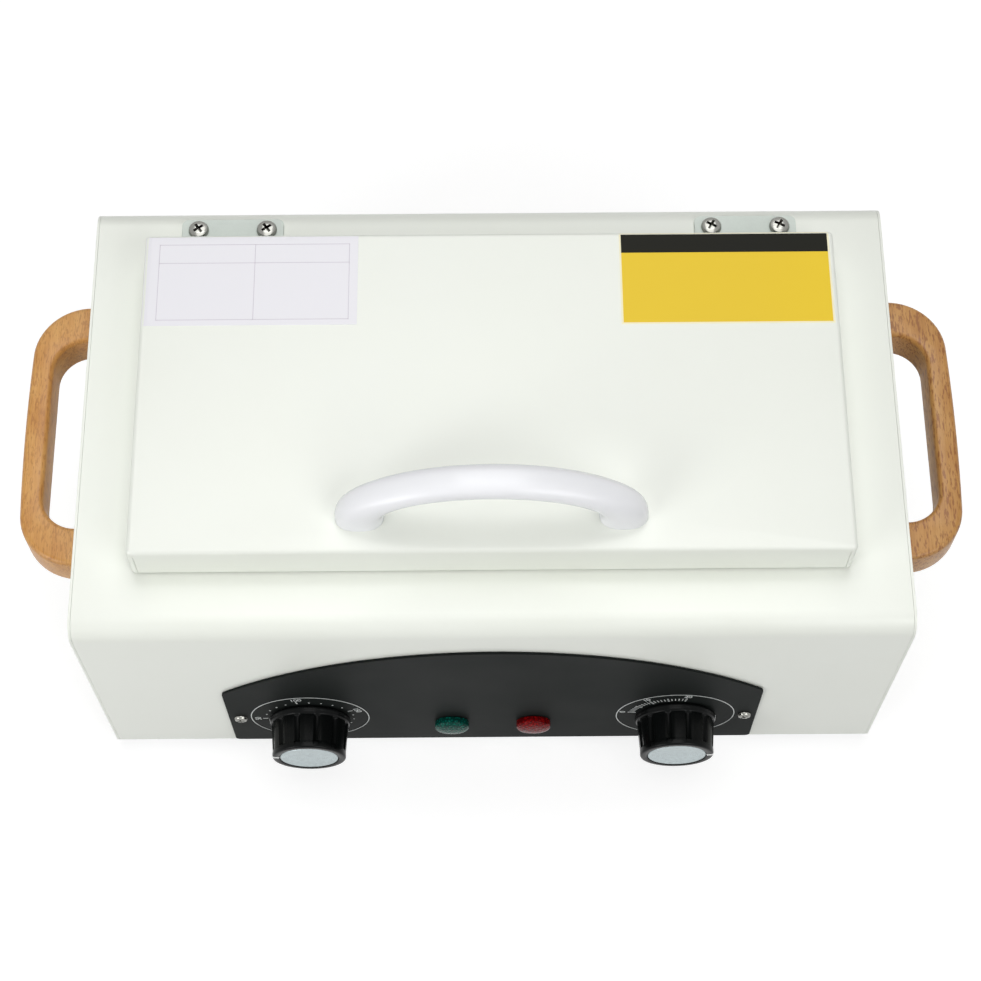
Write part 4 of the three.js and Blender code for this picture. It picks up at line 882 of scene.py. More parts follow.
# %% [markdown]
# ## Feet and screws
# A rubber foot is turned in one piece with the barb that is pushed through the base, and its
# underside is hollow so that it grips. A screw is turned too, and its cross recess is cut by two
# wedges that narrow downwards, as the driver's tip does.

# %% Feet and base screws
foot = turned([(0, 1.4), (3.4, 1.4), (4.0, 0), (6.2, 0), (6.7, 0.3), (7.8, 1.3), (8.85, 7.2),
               (8.6, 7.8), (3.3, 7.8), (3.0, 8.0), (3.0, 9.2), (4.4, 9.3), (4.3, 9.8), (3.0, 11.5),
               (0, 11.6)])
feet = raw_piece("rubber_feet", foot)
repeat(feet, foot_rubber, 2, 2, (FEET_X, FEET_Y), (0, base_middle, 0))
foot_nodes = ["foot_front_left", "foot_back_left", "foot_front_right", "foot_back_right"]
dress(feet, foot_rubber, "cabinet", foot_nodes)


def pan_screw(name, head, height, shank, length):
    """A pan-head screw with a cross recess, head up on z = 0."""
    crown = ((0.96, 0), (1, 0.12), (0.98, 0.4), (0.86, 0.76), (0.6, 0.96), (0.3, 1), (0, 1))
    profile = [(0, -length), (shank * 0.5, -length), (shank, 1 - length), (shank, 0)]
    profile += [(head * out, height * up) for out, up in crown]
    screw = raw_piece(name, turned(profile))
    corners = (1, 1), (-1, 1), (-1, -1), (1, -1)
    for wide, deep in ((0.58, 0.15), (0.15, 0.58)):
        rings = [[(x * head * wide * k, y * head * deep * k, z) for x, y in corners]
                 for z, k in ((-height * 0.2, 0.5), (height * 1.3, 1.08))]
        carve(screw, "DIFFERENCE", skinned(rings))
    return screw


def turn_piece(piece, matrix):
    """Turns a finished piece about the origin and moves it, by a matrix in millimetres."""
    piece.data.transform(Matrix.Translation(matrix.translation * MM) @ matrix.to_3x3().to_4x4())
    return piece


base_screws = turn_piece(pan_screw("base_screws", 3.3, 2.0, 1.75, 8),
                         Matrix.Translation((0, 0, FLOOR)) @ Matrix.Rotation(math.pi, 4, "X"))
repeat(base_screws, zinc_sheet, 2, 2, (BASE_SCREWS_X, BASE_SCREWS[1] - BASE_SCREWS[0]),
       (0, base_middle, 0))
base_screw_nodes = [f"base_screw_{i}" for i in range(1, 5)]
dress(base_screws, zinc_sheet, "cabinet", base_screw_nodes)

# %% [markdown]
# ## The control plate
# The plate is cut from sheet: straight sides, small corners below, and an arched top that meets
# the sides in a soft shoulder. Its outline is drawn once, and the same holes go through it as
# through the cover behind.

# %% Cut the control plate
def quadratic(start, control, end, steps):
    """Points between the ends of a quadratic curve."""
    ends = list(zip(start, control, end))
    shares = [i / steps for i in range(1, steps)]
    return [tuple(a * (1 - s) ** 2 + 2 * b * s * (1 - s) + c * s * s for a, b, c in ends)
            for s in shares]


half, corner = 105.5, 2.0
low, shoulder, crown = FLOOR + 2.8, FLOOR + 58.4, FLOOR + 101.8
rise = crown - shoulder
arch = (half ** 2 + rise ** 2) / (2 * rise)
start = math.degrees(math.asin((shoulder - crown + arch) / arch) + corner / arch)
right_half = arc((half - corner, low + corner), corner, -90, 0, 6) + [(half, shoulder - corner)]
arch_points = arc((0, crown - arch), arch, start, 90, 32)
right_half += quadratic(right_half[-1], (half, shoulder), arch_points[0], 6) + arch_points
plate_outline = right_half + [(-x, z) for x, z in right_half[-2::-1]]
plate_sheet = prism(plate_outline, PLATE_FACE, PLATE_FACE + SHEET, "XZY")
plate = raw_piece("control_plate_sheet", plate_sheet)
carve(plate, "DIFFERENCE", *front_holes(PLATE_FACE))
dress(plate, plate_paint, "cabinet", ["control_plate"], edge=0.18)

# %% [markdown]
# ## The printed dials
# The dials are printed in pale grey: a ring, long marks beside the numbers and short ones
# between. Print has hardly any thickness, but a film of a few hundredths of a millimetre keeps it
# clear of the plate. The temperature scale runs clockwise from its first number at the left, and
# the timer's scale does too. As on the real plate, the timer's print stops at 20, early in the
# knob's travel.

# %% Print rings and marks
RING_OUTER, RING_INNER, INK = 23.68, 23.32, 0.06


def dial(name, x, groups, numbers, height, reach):
    """One printed dial. Groups of marks are (count, first angle, step, inner, outer, width)."""
    face, middle = PLATE_FACE, (x, DIAL_Z)
    ring = prism(circle(RING_OUTER, 96, middle), face - INK, face, "XZY",
                 holes=[circle(RING_INNER, 96, middle)])
    pieces = [raw_piece(name, ring)]
    for count, first, step, inner, outer, width in groups:
        scale = raw_piece(name + "_marks", ([], []))
        grow(scale, marks, Count=count, First=first, Step=step, Inner=inner * MM, Outer=outer * MM,
             Width=width * MM, Thickness=INK * MM, Centre=Vector((x, face, DIAL_Z)) * MM,
             Material=dial_print.material)
        pieces.append(scale)
    for text, angle in numbers:
        pieces.append(number(text, height, x, angle, reach))
    return joined(pieces)


def number(text, height, x, angle, reach):
    """A number whose feet point at the dial's middle."""
    curve = bpy.data.curves.new("number", "FONT")
    curve.body, curve.size, curve.extrude = text, height / 0.7 * MM, INK / 2 * MM
    curve.align_x, curve.align_y = "CENTER", "CENTER"
    curve.space_character = 0.92
    letters = add_object("number", curve)
    mesh = as_shown(letters)
    bpy.data.objects.remove(letters)
    spin = Matrix.Rotation(math.radians(angle - 90), 4, "Z")
    outward = Matrix.Translation((0, reach * MM, INK / 2 * MM))
    place = Matrix.Translation(Vector((x, PLATE_FACE, DIAL_Z)) * MM) @ UP_TO_FRONT
    mesh.transform(place @ spin @ outward)
    return add_object("number", mesh)


def joined(pieces):
    """Several plain meshes as one piece, which keeps the first one's name."""
    work = bmesh.new()
    for piece in pieces:
        work.from_mesh(piece.data)
    work.to_mesh(pieces[0].data)
    work.free()
    for piece in pieces[1:]:
        bpy.data.objects.remove(piece)
    return pieces[0]


temperature_numbers = [("50", 183), ("100", 102), ("150", 23), ("200", -55)]
temperature_marks = [(4, 183, -79.5, 16.9, 19.0, 0.5)]
temperature_marks += [(4, first - 15.9, -15.9, 17.2, 17.8, 0.6) for first in (183, 103.5, 24)]
temperature_marks += [(1, -71.4, 0, 17.2, 17.8, 0.6)]
timer_numbers = [(str(10 * i), 170 - 45 * i) for i in range(3)]
timer_marks = [(21, 170, -4.5, 16.9, 19.0, 0.34), (5, 170, -22.5, 16.2, 19.4, 0.62)]
dial_left = dial("temperature_dial", DIALS[0], temperature_marks, temperature_numbers, 2.4, 20.8)
dial_right = dial("timer_dial", DIALS[1], timer_marks, timer_numbers, 2.3, 21.5)
for printed_dial in (dial_left, dial_right):
    dress(printed_dial, dial_print, "cabinet", [])

# %% [markdown]
# ## The knobs
# A fluted knob is a turned body whose grip is scooped by twelve grooves, so that dry fingers can
# turn it. Rings of points follow the turned profile, and each ring is pulled inwards where a
# groove runs. The groove fades in above the skirt and out below the smooth front band. A white
# line across the rim shows where the knob points, and it continues on the skirt.

# %% Mould the knobs
TIP, GRIP, SKIRT, RIM_TOP = 14.6, 15.3, 16.1, 17.3 - 0.06
GROOVE_START, GROOVE_END, FADE_STEPS = 3.5, 14.0, 5
RIM = [(TIP - 0.85, RIM_TOP), (TIP - 0.58, 17.19), (TIP - 0.3, 17.05), (TIP - 0.1, 16.82),
       (TIP, 16.5)]
GROOVES, GROOVE_DEPTH, GROOVE_SHARE = 12, 0.9, 0.36


def knob_ring(radius, height, depth):
    """One ring of the knob, sunk by the depth where its grooves run."""
    # Places along one groove and its land, as shares of their width, close together in the groove.
    shares = [-0.31, -0.15, 0.0, 0.15] + [0.32 + 0.03 * i for i in range(13)]
    ring = []
    for groove in range(GROOVES):
        for share in shares:
            offset = (share - 0.5) / (GROOVE_SHARE / 2)
            sunk = depth * max(0.0, 1 - offset ** 2) ** 1.5
            angle = FULL_TURN * (groove + share) / GROOVES
            reach = radius - sunk
            ring.append((reach * math.cos(angle), reach * math.sin(angle), height))
    return ring


def knob_shape():
    """A closed knob: skirt, grooved grip, smooth band, and a seat for the cap."""
    outside = [(SKIRT - 0.2, 0.8, 0), (SKIRT, 1.0, 0), (SKIRT, 1.7, 0), (SKIRT - 0.12, 2.0, 0),
               (GRIP + 0.5, 2.9, 0), (GRIP + 0.12, 3.2, 0), (GRIP, 3.5, 0.1)]
    fades = [(0.16 * i, math.radians(90 / FADE_STEPS * i)) for i in range(FADE_STEPS + 1)]
    outside += [(GRIP, GROOVE_START + up, GROOVE_DEPTH * math.sin(fade)) for up, fade in fades[1:]]
    outside += [(TIP, GROOVE_END + up, GROOVE_DEPTH * math.cos(fade)) for up, fade in fades]
    outside += [(radius, height, 0) for radius, height in reversed(RIM)]
    outside += [(12.1, RIM_TOP, 0), (11.85, 17.1, 0), (11.8, 16.3, 0)]
    inside = [(3.0, 16.3, 0), (3.0, 0.8, 0), (5.5, 0.8, 0), (5.5, 8.8, 0), (12.4, 8.8, 0),
              (12.4, 0.8, 0)]
    rings = [knob_ring(*station) for station in outside + inside]
    return skinned(rings + [rings[0]], caps=False)


def pointer_strip(angle):
    """A raised white line: across the rim, over its edge, and on the edge of the skirt."""
    strips, wide = [], 0.65
    for run in ([(12.0, RIM_TOP), *RIM, (TIP, 15.2)],
                [(GRIP + 0.5, 2.9), (SKIRT - 0.12, 2.0), (SKIRT, 1.7), (SKIRT, 1.0)]):
        rings = []
        for reach, height in run:
            out, lift = (0.05, 0.03) if height < 17 else (0.0, 0.05)
            rings.append([(reach + out, -wide, height + lift), (reach + out, wide, height + lift),
                          (reach - 0.2, wide, height - 0.2), (reach - 0.2, -wide, height - 0.2)])
        strips.append(skinned(rings))
    return moved(together(*strips), Matrix.Rotation(math.radians(angle), 4, "Z"))


for word, x, angle in (("temperature", DIALS[0], 174), ("timer", DIALS[1], 4)):
    stand = Matrix.Translation((x, PLATE_FACE, DIAL_Z)) @ UP_TO_FRONT
    body = word + "_knob"
    knob = raw_piece("fluted_" + body, moved(knob_shape(), stand), crease=38)
    dress(knob, knob_plastic, body, [body])
    pointer = raw_piece(word + "_pointer", moved(pointer_strip(angle), stand))
    dress(pointer, pointer_paint, body, [])
    disc = turned([(0, 16.5), (11.4, 16.5), (11.5, 16.6), (11.5, 16.95), (11.35, 17.12),
                   (11.1, 17.2), (10.8, 17.17), (10.3, 17.1), (5, 17.02), (0, 17.0)], 96)
    cap = raw_piece(word + "_cap", moved(disc, stand), crease=50)
    dress(cap, spun("spun_cap_" + word, (x, DIAL_Z)), body, [body + "_cap"])

# %% [markdown]
# ## Lamps and plate screws
# A pilot lens is a small moulded cup: a flat rim, a rounded shoulder and a front that is crowned
# a little. Its wall is about as thick as a real one's.

# %% Lenses and plate screws
LENS = [(0, 2.6), (4.4, 2.5), (5.2, 2.2), (5.65, 1.6), (5.65, 0), (6.7, 0), (6.85, 0.15),
        (6.85, 2.2), (6.78, 2.55), (6.5, 2.9), (6.0, 3.2), (5.1, 3.5), (3.8, 3.79), (2.2, 3.99),
        (0, 4.08)]
for colour, x in (("green", LAMPS[0]), ("red", LAMPS[1])):
    stand = Matrix.Translation((x, PLATE_FACE - 0.3, LAMP_Z)) @ UP_TO_FRONT
    cup = raw_piece(colour + "_lens", moved(turned(LENS, 64), stand), crease=50)
    dress(cup, lens[colour], "cabinet", ["lamp_lens_" + colour])
for word, x in zip(("left", "right"), PLATE_SCREWS):
    spin = Matrix.Rotation(math.radians(20 + x), 4, "Z")
    screw = turn_piece(pan_screw("plate_screw_head_" + word, 2.7, 1.5, 1.4, 9),
                       Matrix.Translation((x, PLATE_FACE - 0.05, DIAL_Z)) @ UP_TO_FRONT @ spin)
    dress(screw, screw_steel, "cabinet", ["plate_screw_" + word])

# %% [markdown]
# ## The beech handles
# Seen from above, a side handle is a C whose two arms meet the panel. It is sawn from a board to
# that outline, and every long edge is then rounded over on a router table. The model follows the
# same order: the outline run through the board's thickness, then a wide Bevel on the edges above
# and below, and last the saw cut that fits the arms to the panel.

# %% Saw and round the side handles
ARM, GAP, THICK, ROOT = 55.7, 40.2, 17.0, -4.4
OUTER_RADIUS, OUTER_X, INNER_RADIUS, INNER_X, GRIP_X = 22, 3.8, 13, 4.4, 27.2
ROUNDING, WOOD_CREASE = 2.2, 40


def handle_outline(side):
    """The C in X and Y. Its grip bows out a little between the two outer corners."""
    outer, inner, grip = ARM - OUTER_RADIUS, GAP - INNER_RADIUS, OUTER_X + OUTER_RADIUS
    points = [(ROOT, -ARM)] + arc((OUTER_X, -outer), OUTER_RADIUS, -90, 0, 16)
    points += quadratic((grip, -outer), (GRIP_X, 0), (grip, outer), 10)
    points += arc((OUTER_X, outer), OUTER_RADIUS, 0, 90, 16) + [(ROOT, ARM), (ROOT, GAP)]
    points += arc((INNER_X, inner), INNER_RADIUS, 90, 0, 12)
    points += arc((INNER_X, -inner), INNER_RADIUS, 0, -90, 12) + [(ROOT, -GAP)]
    return [(side * (PANEL_FACE + x), ARM_MIDDLE + y) for x, y in points]


for side, word in ((-1, "left"), (1, "right")):
    board = prism(handle_outline(side), ARM_BOLT_Z - THICK / 2, ARM_BOLT_Z + THICK / 2)
    wood = raw_piece("beech_handle_" + word, board)
    add_bevel(wood, ROUNDING, 5, WOOD_CREASE)
    settle(wood)
    ends = sorted((side * (PANEL_FACE - 20), side * (PANEL_FACE + 0.1)))
    carve(wood, "DIFFERENCE", block((ends[0], -120, 60), (ends[1], 120, 140)), crease=WOOD_CREASE)
    dress(wood, beech[word], "cabinet", ["side_handle_" + word], crease=WOOD_CREASE)

# %% [markdown]
# ## Hinges
# A butt hinge is two flats whose edges curl round one pin, with the curls taken in turn. The leaf
# behind the pin lies flat on the cover, with a screw at each end, and stays with the cabinet. The
# other stands against the lid's rear flange and turns with it. The curls are cut on the pin's
# axis, so the lid opens round the very line that the physics model uses.

# %% Make the hinges
LEAF, KNUCKLE, PIN_RADIUS, HINGE_LENGTH = 1.2, 3.0, 1.5, 40.0
FIXED_REACH, SWINGING_REACH, LEAF_CORNER = 14.0, 12.0, 2.5
SLIP, STRIP = 0.12, HINGE_LENGTH / 5


def knuckles(first):
    """Spans of the curls along X, every second one, from the first."""
    lefts = [i * STRIP - HINGE_LENGTH / 2 for i in range(first, 5, 2)]
    return [(left + SLIP, left + STRIP - SLIP) for left in lefts]


def hinge_leaf(name, x, first, lying):
    """One leaf: a flat with rounded far corners, and its curls, joined and bored."""
    near, far = KNUCKLE + 0.3, FIXED_REACH if lying else SWINGING_REACH
    end, low, high = HINGE_LENGTH / 2, -KNUCKLE, LEAF - KNUCKLE
    outline = [(-end, near), (end, near)]
    outline += arc((end - LEAF_CORNER, far - LEAF_CORNER), LEAF_CORNER, 0, 90, 5)
    outline += arc((LEAF_CORNER - end, far - LEAF_CORNER), LEAF_CORNER, 90, 180, 5)
    leaf = raw_piece(name, prism(outline, low, high, "XYZ" if lying else "XZY"))
    lead = [(0, low), (near + LEAF, low), (near + LEAF, high), (0, high)]
    if not lying:
        lead = [(z, y) for y, z in lead]
    for left, right in knuckles(first):
        carve(leaf, "UNION", prism(circle(KNUCKLE, 36), left, right, "YZX"))
        carve(leaf, "UNION", prism(lead, left, right, "YZX"))
    carve(leaf, "DIFFERENCE", prism(circle(PIN_RADIUS + SLIP, 24), -end - 10, end + 10, "YZX"))
    if lying:
        holes = [bore_z(step, HINGE_SCREW_REACH, HINGE_SCREW_HOLE, -6, 3) for step in HINGE_SCREWS]
        carve(leaf, "DIFFERENCE", *holes)
    return turn_piece(leaf, Matrix.Translation((x, PIN.y, PIN.z)))


for x, word in zip(HINGES, ("left", "right")):
    fixed = hinge_leaf("fixed_leaf_" + word, x, 0, True)
    dress(fixed, plated, "cabinet", ["hinge_leaf_" + word], edge=EDGE)
    swinging = hinge_leaf("lid_leaf_" + word, x, 1, False)
    dress(swinging, plated, "lid", ["lid_hinge_leaf_" + word], edge=EDGE)
    rod = turned([(0, -19.95), (1.1, -19.95), (PIN_RADIUS, -19.5), (PIN_RADIUS, 19.5), (1.1, 19.95),
                  (0, 19.95)], 24)
    stand = Matrix.Translation((x, PIN.y, PIN.z)) @ UP_TO_RIGHT
    pin = raw_piece("pin_" + word, moved(rod, stand))
    dress(pin, nickel, "cabinet", ["hinge_pin_" + word])
    spin = Matrix.Rotation(math.radians(35 if x < 0 else 62), 4, "Z")
    screws = turn_piece(pan_screw("hinge_screws_" + word, 4.0, 2.2, 2.0, 8), spin)
    repeat(screws, screw_steel, 2, 1, (HINGE_SCREWS[1] - HINGE_SCREWS[0], 0),
           (x, HINGE_SCREW_Y, PIN.z - KNUCKLE + LEAF + 0.1))
    dress(screws, screw_steel, "cabinet", [f"hinge_screw_{word}_{i}" for i in (1, 2)])

# %% [markdown]
# ## Pressed sheet
# Lid, liners and tray are all pressed or folded from sheet. Each is a closed skin through a row
# of rounded rectangles: out along the outer side, round the edge, and back along the inner side.
# Writing that row as a list of (inset, height) pairs makes the wall's thickness part of the
# drawing.

# %% The skin of a pressing
def pressing(name, box, corner, stations):
    """A pressing as wide and deep as a box. A station is (inset from the outline, height)."""
    width, depth = box[1].x - box[0].x, box[1].y - box[0].y
    rings = []
    for inset, height in stations:
        radius = max(corner - inset, 0.2)
        outline = rounded_rectangle(width - 2 * inset, depth - 2 * inset, radius,
                                    middle=(0, LID_MIDDLE))
        rings.append([(x, y, height) for x, y in outline])
    return raw_piece(name, skinned(rings))


def bend(inset, height, radius, start, end):
    """Stations along a bend of the sheet, round a centre given as an inset and a height."""
    return [(inset - r, h) for r, h in arc((0, height), radius, start, end, 5)]


# %% Fold the lid
lid_bottom, lid_top = lid_low.z, lid_high.z
bow_low, bow_high = span("lid_handle")
BOW_Y, BOW_FEET, BOW_SCREW_HOLE = (bow_low.y + bow_high.y) / 2, 48, 2.3
LID_BEND = 1.6
outside = bend(LID_BEND, lid_top - LID_BEND, LID_BEND, 90, 0) + [(0, lid_bottom)]
inside = [(1, lid_bottom)] + bend(LID_BEND, lid_top - LID_BEND, LID_BEND - SHEET, 0, 90)
lid = pressing("folded_lid", (lid_low, lid_high), 1.8, outside + inside)
seams = []
for side in (-1, 1):
    x = side * (lid_high.x - 2.3)
    for y in (lid_low.y, lid_high.y):
        seams.append(block((x - 0.07, y - 1.5, lid_bottom - 2),
                           (x + 0.07, y + 1.5, lid_top - 3.2)))
    seams.append(bore_z(side * BOW_FEET, BOW_Y, BOW_SCREW_HOLE, lid_top - PAST, lid_top + PAST))
carve(lid, "DIFFERENCE", *seams)
dress(lid, white_paint, "lid", ["lid_shell"], edge=EDGE)

# %% [markdown]
# ## Stickers
# Two printed stickers lie on the lid, made of their fields, bands and lines. A sticker is a sheet
# of foil: it follows the bend of the lid where it comes near the edge, so its height is worked
# out from the lid's own section.

# %% Lay the stickers
def lid_surface(x, y):
    """Height of the lid's top at a place, bends at its edges included."""
    to_edge = min(lid_high.x - abs(x), lid_high.y - y, y - lid_low.y)
    drop = max(0.0, LID_BEND - to_edge)
    return lid_top - LID_BEND + math.sqrt(max(0.0, LID_BEND ** 2 - drop ** 2))


PAPER, PRINT = 0.1, 0.04


def foil(name, finish, left, right, front, back, lift=PAPER + 0.03, thickness=PRINT):
    """A rectangle of foil that follows the lid, its top a given height above the paint."""
    columns = [left + (right - left) * i / 60 for i in range(61)]
    rows = [front + (back - front) * i / 30 for i in range(31)]
    tops = [(x, y, lid_surface(x, y) + lift) for y in rows for x in columns]
    unders = [(x, y, z - thickness) for x, y, z in tops]
    count, across = len(tops), len(columns)
    faces = []
    for row in range(len(rows) - 1):
        for column in range(across - 1):
            a = row * across + column
            faces.append((a, a + 1, a + across + 1, a + across))
            faces.append((a + count, a + across + count, a + across + 1 + count, a + 1 + count))
    rim = list(range(across)) + [across * row + across - 1 for row in range(1, len(rows))]
    rim += [count - 1 - i for i in range(1, across)]
    rim += [across * row for row in range(len(rows) - 2, 0, -1)]
    faces += [(a, b, b + count, a + count) for a, b in zip(rim, rim[1:] + rim[:1])]
    dress(raw_piece(name, (tops + unders, faces)), finish, "lid", [])


foil("white_sticker_field", paper_white, -131.9, -50.3, 31.95, 70.55, PAPER, PAPER)
foil("cream_sticker_border", paper_cream, 49.8, 130.5, 31.25, 70.95, PAPER, PAPER)
foil("yellow_sticker_field", paper_yellow, 50.5, 129.8, 31.95, 62.25)
foil("yellow_sticker_band", ink_black, 50.5, 129.8, 62.25, 70.3)
LINE, FRAME = 0.27, (-126.5, -53.5, 34.25, 67.25)
left, right, front, back = FRAME
for name, edges in (
        ("frame_front", (left, right, front, front + LINE)),
        ("frame_back", (left, right, back - LINE, back)),
        ("frame_left", (left, left + LINE, front, back)),
        ("frame_right", (right - LINE, right, front, back)),
        ("middle_line", (-89.85, -89.85 + LINE, front, back)),
        ("header_line", (left, right, 58.9, 58.9 + LINE))):
    foil("sticker_" + name, ink_grey, *edges)

# %% [markdown]
# ## The bow on the lid
# The tree makes the bow from its rule, with 72 steps along it and 40 round it. The feet are then
# closed and set on the lid.

# %% Grow the bow
BOW_CREASE, BOW_GAP = 50, 0.02
bow_handle = raw_piece("bow_handle", ([], []))
grow(bow_handle, bow, crease=BOW_CREASE, Half_Span=BOW_FEET * MM, Rise=28.6 * MM,
     Thickness=8.8 * MM, Width=12.6 * MM, Foot_Thickness=18 * MM, Foot_Width=12.8 * MM,
     Fullness=0.8, Steps=72, Sides=40, Place=Vector((0, BOW_Y, bow_low.z)) * MM,
     Material=bow_plastic.material)
work = bmesh.new()
work.from_mesh(bow_handle.data)
open_edges = [edge for edge in work.edges if edge.is_boundary]
foot_edges = bmesh.ops.extrude_edge_only(work, edges=open_edges)["geom"]
for vertex in (part for part in foot_edges if isinstance(part, bmesh.types.BMVert)):
    vertex.co.z = (lid_top + BOW_GAP) * MM
bmesh.ops.holes_fill(work, edges=[edge for edge in work.edges if edge.is_boundary], sides=0)
work.to_mesh(bow_handle.data)
work.free()
tidy(bow_handle.data, BOW_CREASE)
dress(bow_handle, bow_plastic, "lid", ["lid_handle"])

# %% [markdown]
# ## Inside: lid liner, chamber, tray and bails
# These show when the lid is up. The liner closes the lid from below and is pressed down in its
# middle, which keeps it flat when it is hot. The chamber is a drawn tub whose flange lies on the
# cover. The tray is a pan with a turned-out rim and slots in its floor, and two wire bails lift
# it.

# %% Press the liners
low, high, field = lid_bottom - 1.4, lid_bottom + 12.6, 23.0
pan_out = [(field + 1.5, low), (field + 0.4, low + 0.4), (field, low + 1.4),
           (field - 0.4, low + 1.8), (field - 1.4, low + 2), (1.0, low + 2), (0.3, low + 2.3),
           (0, low + 3), (0, high)]
pan_in = [(1, high), (1, low + 3.4), (1.4, low + 3), (field - 0.8, low + 3),
          (field + 0.5, low + 2.6), (field + 1.2, low + 1.3), (field + 2.4, low + 1)]
lid_liner = pressing("pressed_lid_liner", span("lid_liner"), 9.0, pan_out + pan_in)
dress(lid_liner, stainless, "lid", ["lid_liner"])

tub_box = span("chamber_liner")
low, high = tub_box[0].z, tub_box[1].z
tub = [(9, low)] + bend(9, low + 4, 4, -90, 0)
tub += [(5, high - 1), (0, high - 1), (0, high), (5.2, high), (5.8, high - 0.2), (6, high - 0.8)]
tub += bend(9, low + 4, 3, 0, -90) + [(12, low + 1)]
chamber = pressing("drawn_chamber", tub_box, 13.0, tub)
dress(chamber, stainless, "cabinet", ["chamber_liner"])

# %% Press and punch the tray
tray_low, tray_high = span("tray")
low, high, wall, rim = tray_low.z, tray_high.z, 0.8, 2.4
pan = [(rim + 3, low)] + bend(rim + 3, low + 3, 3, -90, 0)
pan += [(rim, high - 0.8), (0.3, high - 0.8), (0, high - 0.5), (0, high - 0.2), (0.3, high),
        (rim + 0.4, high), (rim + wall, high - 0.5)]
pan += bend(rim + 3, low + 3, 3 - wall, 0, -90)
tray = pressing("pressed_tray", (tray_low, tray_high), 9.4, pan)
BAIL_X, BAIL_Z, BAIL_RADIUS, EYE = 112.2, high - 5, 1.5, 1.8
eyes = [bore_y(x, BAIL_Z, EYE, tray_low.y - 5, tray_high.y + 5) for x in (-BAIL_X, BAIL_X)]
carve(tray, "DIFFERENCE", *eyes)
punch(tray, stainless, 4, 3, (53, 26.8), (30, 4), (0, LID_MIDDLE, low + wall / 2))
dress(tray, stainless, "cabinet", ["tray"])

# %% Bend the bails
TAIL, LEG, DROP, WIRE_BEND = 54.8, 48.3, 19.2, 3.1
for side, word in ((-1, "left"), (1, "right")):
    corners = [(-TAIL, 0), (-LEG, 0), (-LEG, -DROP), (LEG, -DROP), (LEG, 0), (TAIL, 0)]
    mesh = bpy.data.meshes.new("wire_bail_" + word)
    places = [Vector((side * BAIL_X, LID_MIDDLE + y, BAIL_Z + z)) * MM for y, z in corners]
    mesh.from_pydata(places, [(i, i + 1) for i in range(5)], [])
    bail = add_object(mesh.name, mesh)
    grow(bail, wires, crease=50, Radius=BAIL_RADIUS * MM, Bend=WIRE_BEND * MM, Sides=16,
         Material=nickel.material)
    dress(bail, nickel, "tray_bail_" + word, ["tray_bail_" + word])

# %% [markdown]
# ## The cord gland
# The supply cord leaves at the back through a moulded gland: a flange with a rounded rim, and a
# nose with grooves that lets the cord bend softly.

# %% Turn the gland
gland_profile = [
    (4, -8), (6.8, -8), (7, -7.6), (8, -2.2), (8, -1.2), (7, -1.1), (7, 0), (9.4, 0), (9.9, 0.5),
    (9.95, 2.4), (9.5, 3), (7.6, 3.2), (7.2, 3.6), (7.1, 4.6), (6.6, 4.8), (6.6, 5.4), (7.0, 5.6),
    (6.85, 6.6), (6.4, 6.8), (6.4, 7.4), (6.75, 7.6), (6.4, 8.6), (6, 8.95), (4.4, 8.95), (4, 8.6),
    (4, -8)]
stand = Matrix.Translation((GLAND[0], BACK, GLAND[1])) @ UP_TO_BACK
gland = raw_piece("moulded_gland", moved(turned(gland_profile, 56), stand), crease=40)
dress(gland, dark_plastic, "cabinet", ["cord_gland"])

# %% [markdown]
# ## The CAD solids that stay
# Heater, wool, controls, shafts, bolts and lamp holders sit inside, where their CAD shape is
# enough. They keep it and only get a finish.

# %% Dress the CAD solids
finish_of = {
    "terminal_block": pale_plastic, "lamp_holder_green": pale_plastic,
    "lamp_holder_red": pale_plastic, "thermostat_body": dark_plastic, "timer_body": dark_plastic,
    "thermostat_bulb": copper, "heating_element": stainless, "heater_clamp": zinc_sheet,
    "chamber_wool": wool, "lid_wool": wool, "temperature_shaft": nickel, "timer_shaft": nickel}
for start in ("handle_bolt_", "lid_handle_screw_"):
    finish_of.update({node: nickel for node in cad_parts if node.startswith(start)})
for node, finish in finish_of.items():
    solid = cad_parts[node]
    solid.data.materials.clear()
    solid.data.materials.append(finish.material)
print("CAD solids dressed:", len(finish_of))

# %% [markdown]
# ## Floor and light
# A catalogue picture is taken in a white tent: soft lights above and behind the object, one more
# at each front corner, and white all round. The floor is pale and matt and keeps the object's
# shadow. To the camera the surroundings are plain white, while the light they give stays gentle,
# so that the white paint keeps its tones. Far out, where the lamps no longer reach, the floor
# grows whiter by itself.

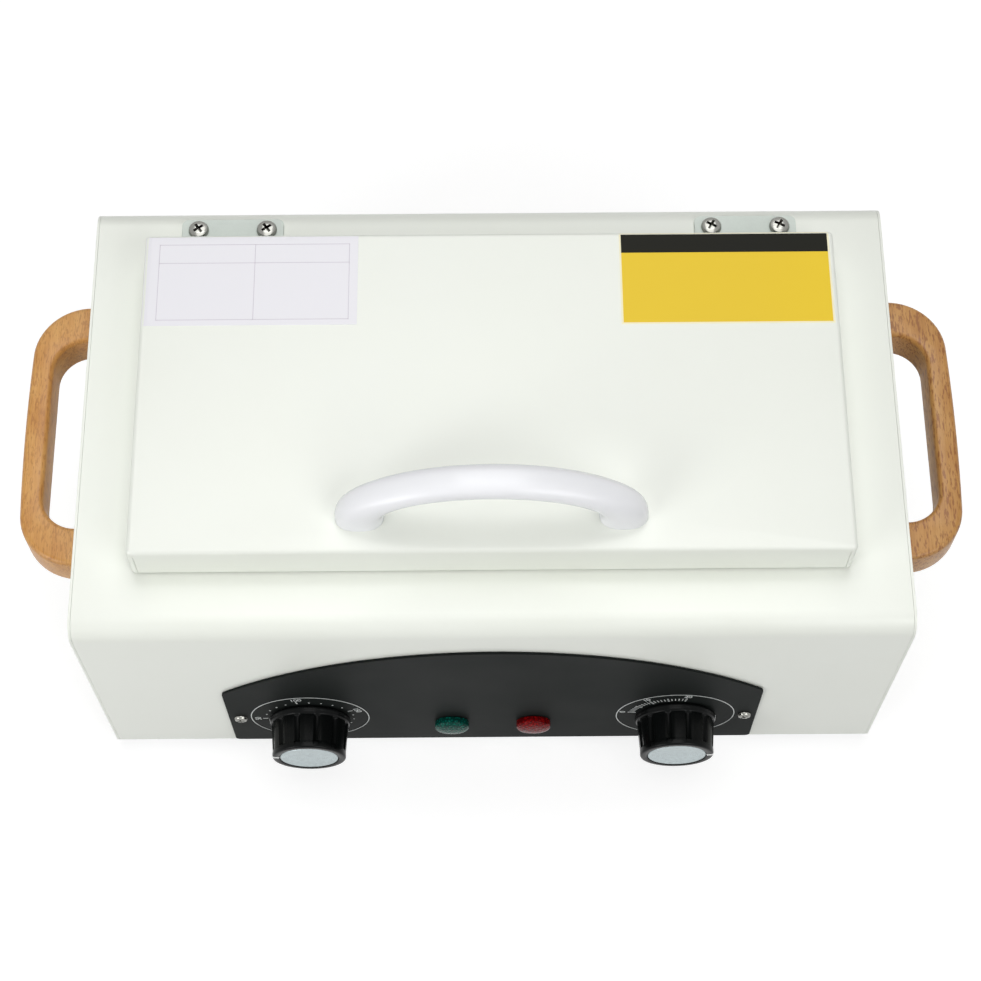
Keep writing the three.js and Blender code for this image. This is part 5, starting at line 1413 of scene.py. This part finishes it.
# %% Build the studio
floor_mesh = bpy.data.meshes.new("floor")
floor_mesh.from_pydata([(-4, -4, 0), (4, -4, 0), (4, 4, 0), (-4, 4, 0)], [], [(0, 1, 2, 3)])
floor = add_object("floor", floor_mesh)


def seen_directly(tree):
    """1 for rays that show the surroundings, straight, mirrored or through a lens. 0 for light."""
    path = add_node(tree, "ShaderNodeLightPath")
    straight, mirrored, through = outputs(path, "Is Camera Ray", "Is Glossy Ray",
                                          "Is Transmission Ray")
    return straight.math("MAXIMUM", mirrored).math("MAXIMUM", through)


matt = Finish("white_floor", (188, 188, 188), 0.9, Specular_IOR_Level=0.1,
              Emission_Color=(1, 1, 1, 1))
mottle = matt.noise(matt.place(), 6, 2)
matt.set("Base Color", matt.ramp(mottle, (0.3, (187, 187, 187)), (0.7, (189, 189, 189))))
x, y = outputs(add_node(matt.tree, "ShaderNodeSeparateXYZ", {0: matt.place()}), "X", "Y")
white = matt.between((x * x + y * y).math("SQRT"), 0.7, 2.4, 0.66, 0.97)
matt.set("Emission Strength", seen_directly(matt.tree) * white)
floor_mesh.materials.append(matt.material)

AIM = Vector((0, 0, 0.08))
for name, place, size, watts in (
        ("light_above", (0, 0, 1.9), 1.1, 8.0), ("light_behind", (0, 0.8, 1.7), 1.1, 9.5),
        ("light_front_left", (-0.95, -0.85, 0.6), 0.7, 7.4),
        ("light_front_right", (0.95, -1.1, 1.3), 1.1, 12.3)):
    lamp = bpy.data.lights.new(name, "AREA")
    lamp.shape = "RECTANGLE"
    lamp.size, lamp.size_y, lamp.energy = size, size, watts
    holder = add_object(name, lamp)
    holder.location = place
    holder.rotation_euler = (AIM - Vector(place)).to_track_quat("-Z", "Y").to_euler()

world = bpy.data.worlds.new("white tent")
bpy.context.scene.world = world
world.use_nodes = True
tent = world.node_tree
background = tent.nodes["Background"]
background.inputs["Color"].default_value = (1, 1, 1, 1)
TENT_LIGHT = 0.1
strength = seen_directly(tent) * (1 - TENT_LIGHT) + TENT_LIGHT
feed(tent, background.inputs["Strength"], strength)
bpy.context.scene.view_settings.view_transform = "Standard"
print("Lights:", [light.name for light in bpy.data.lights])
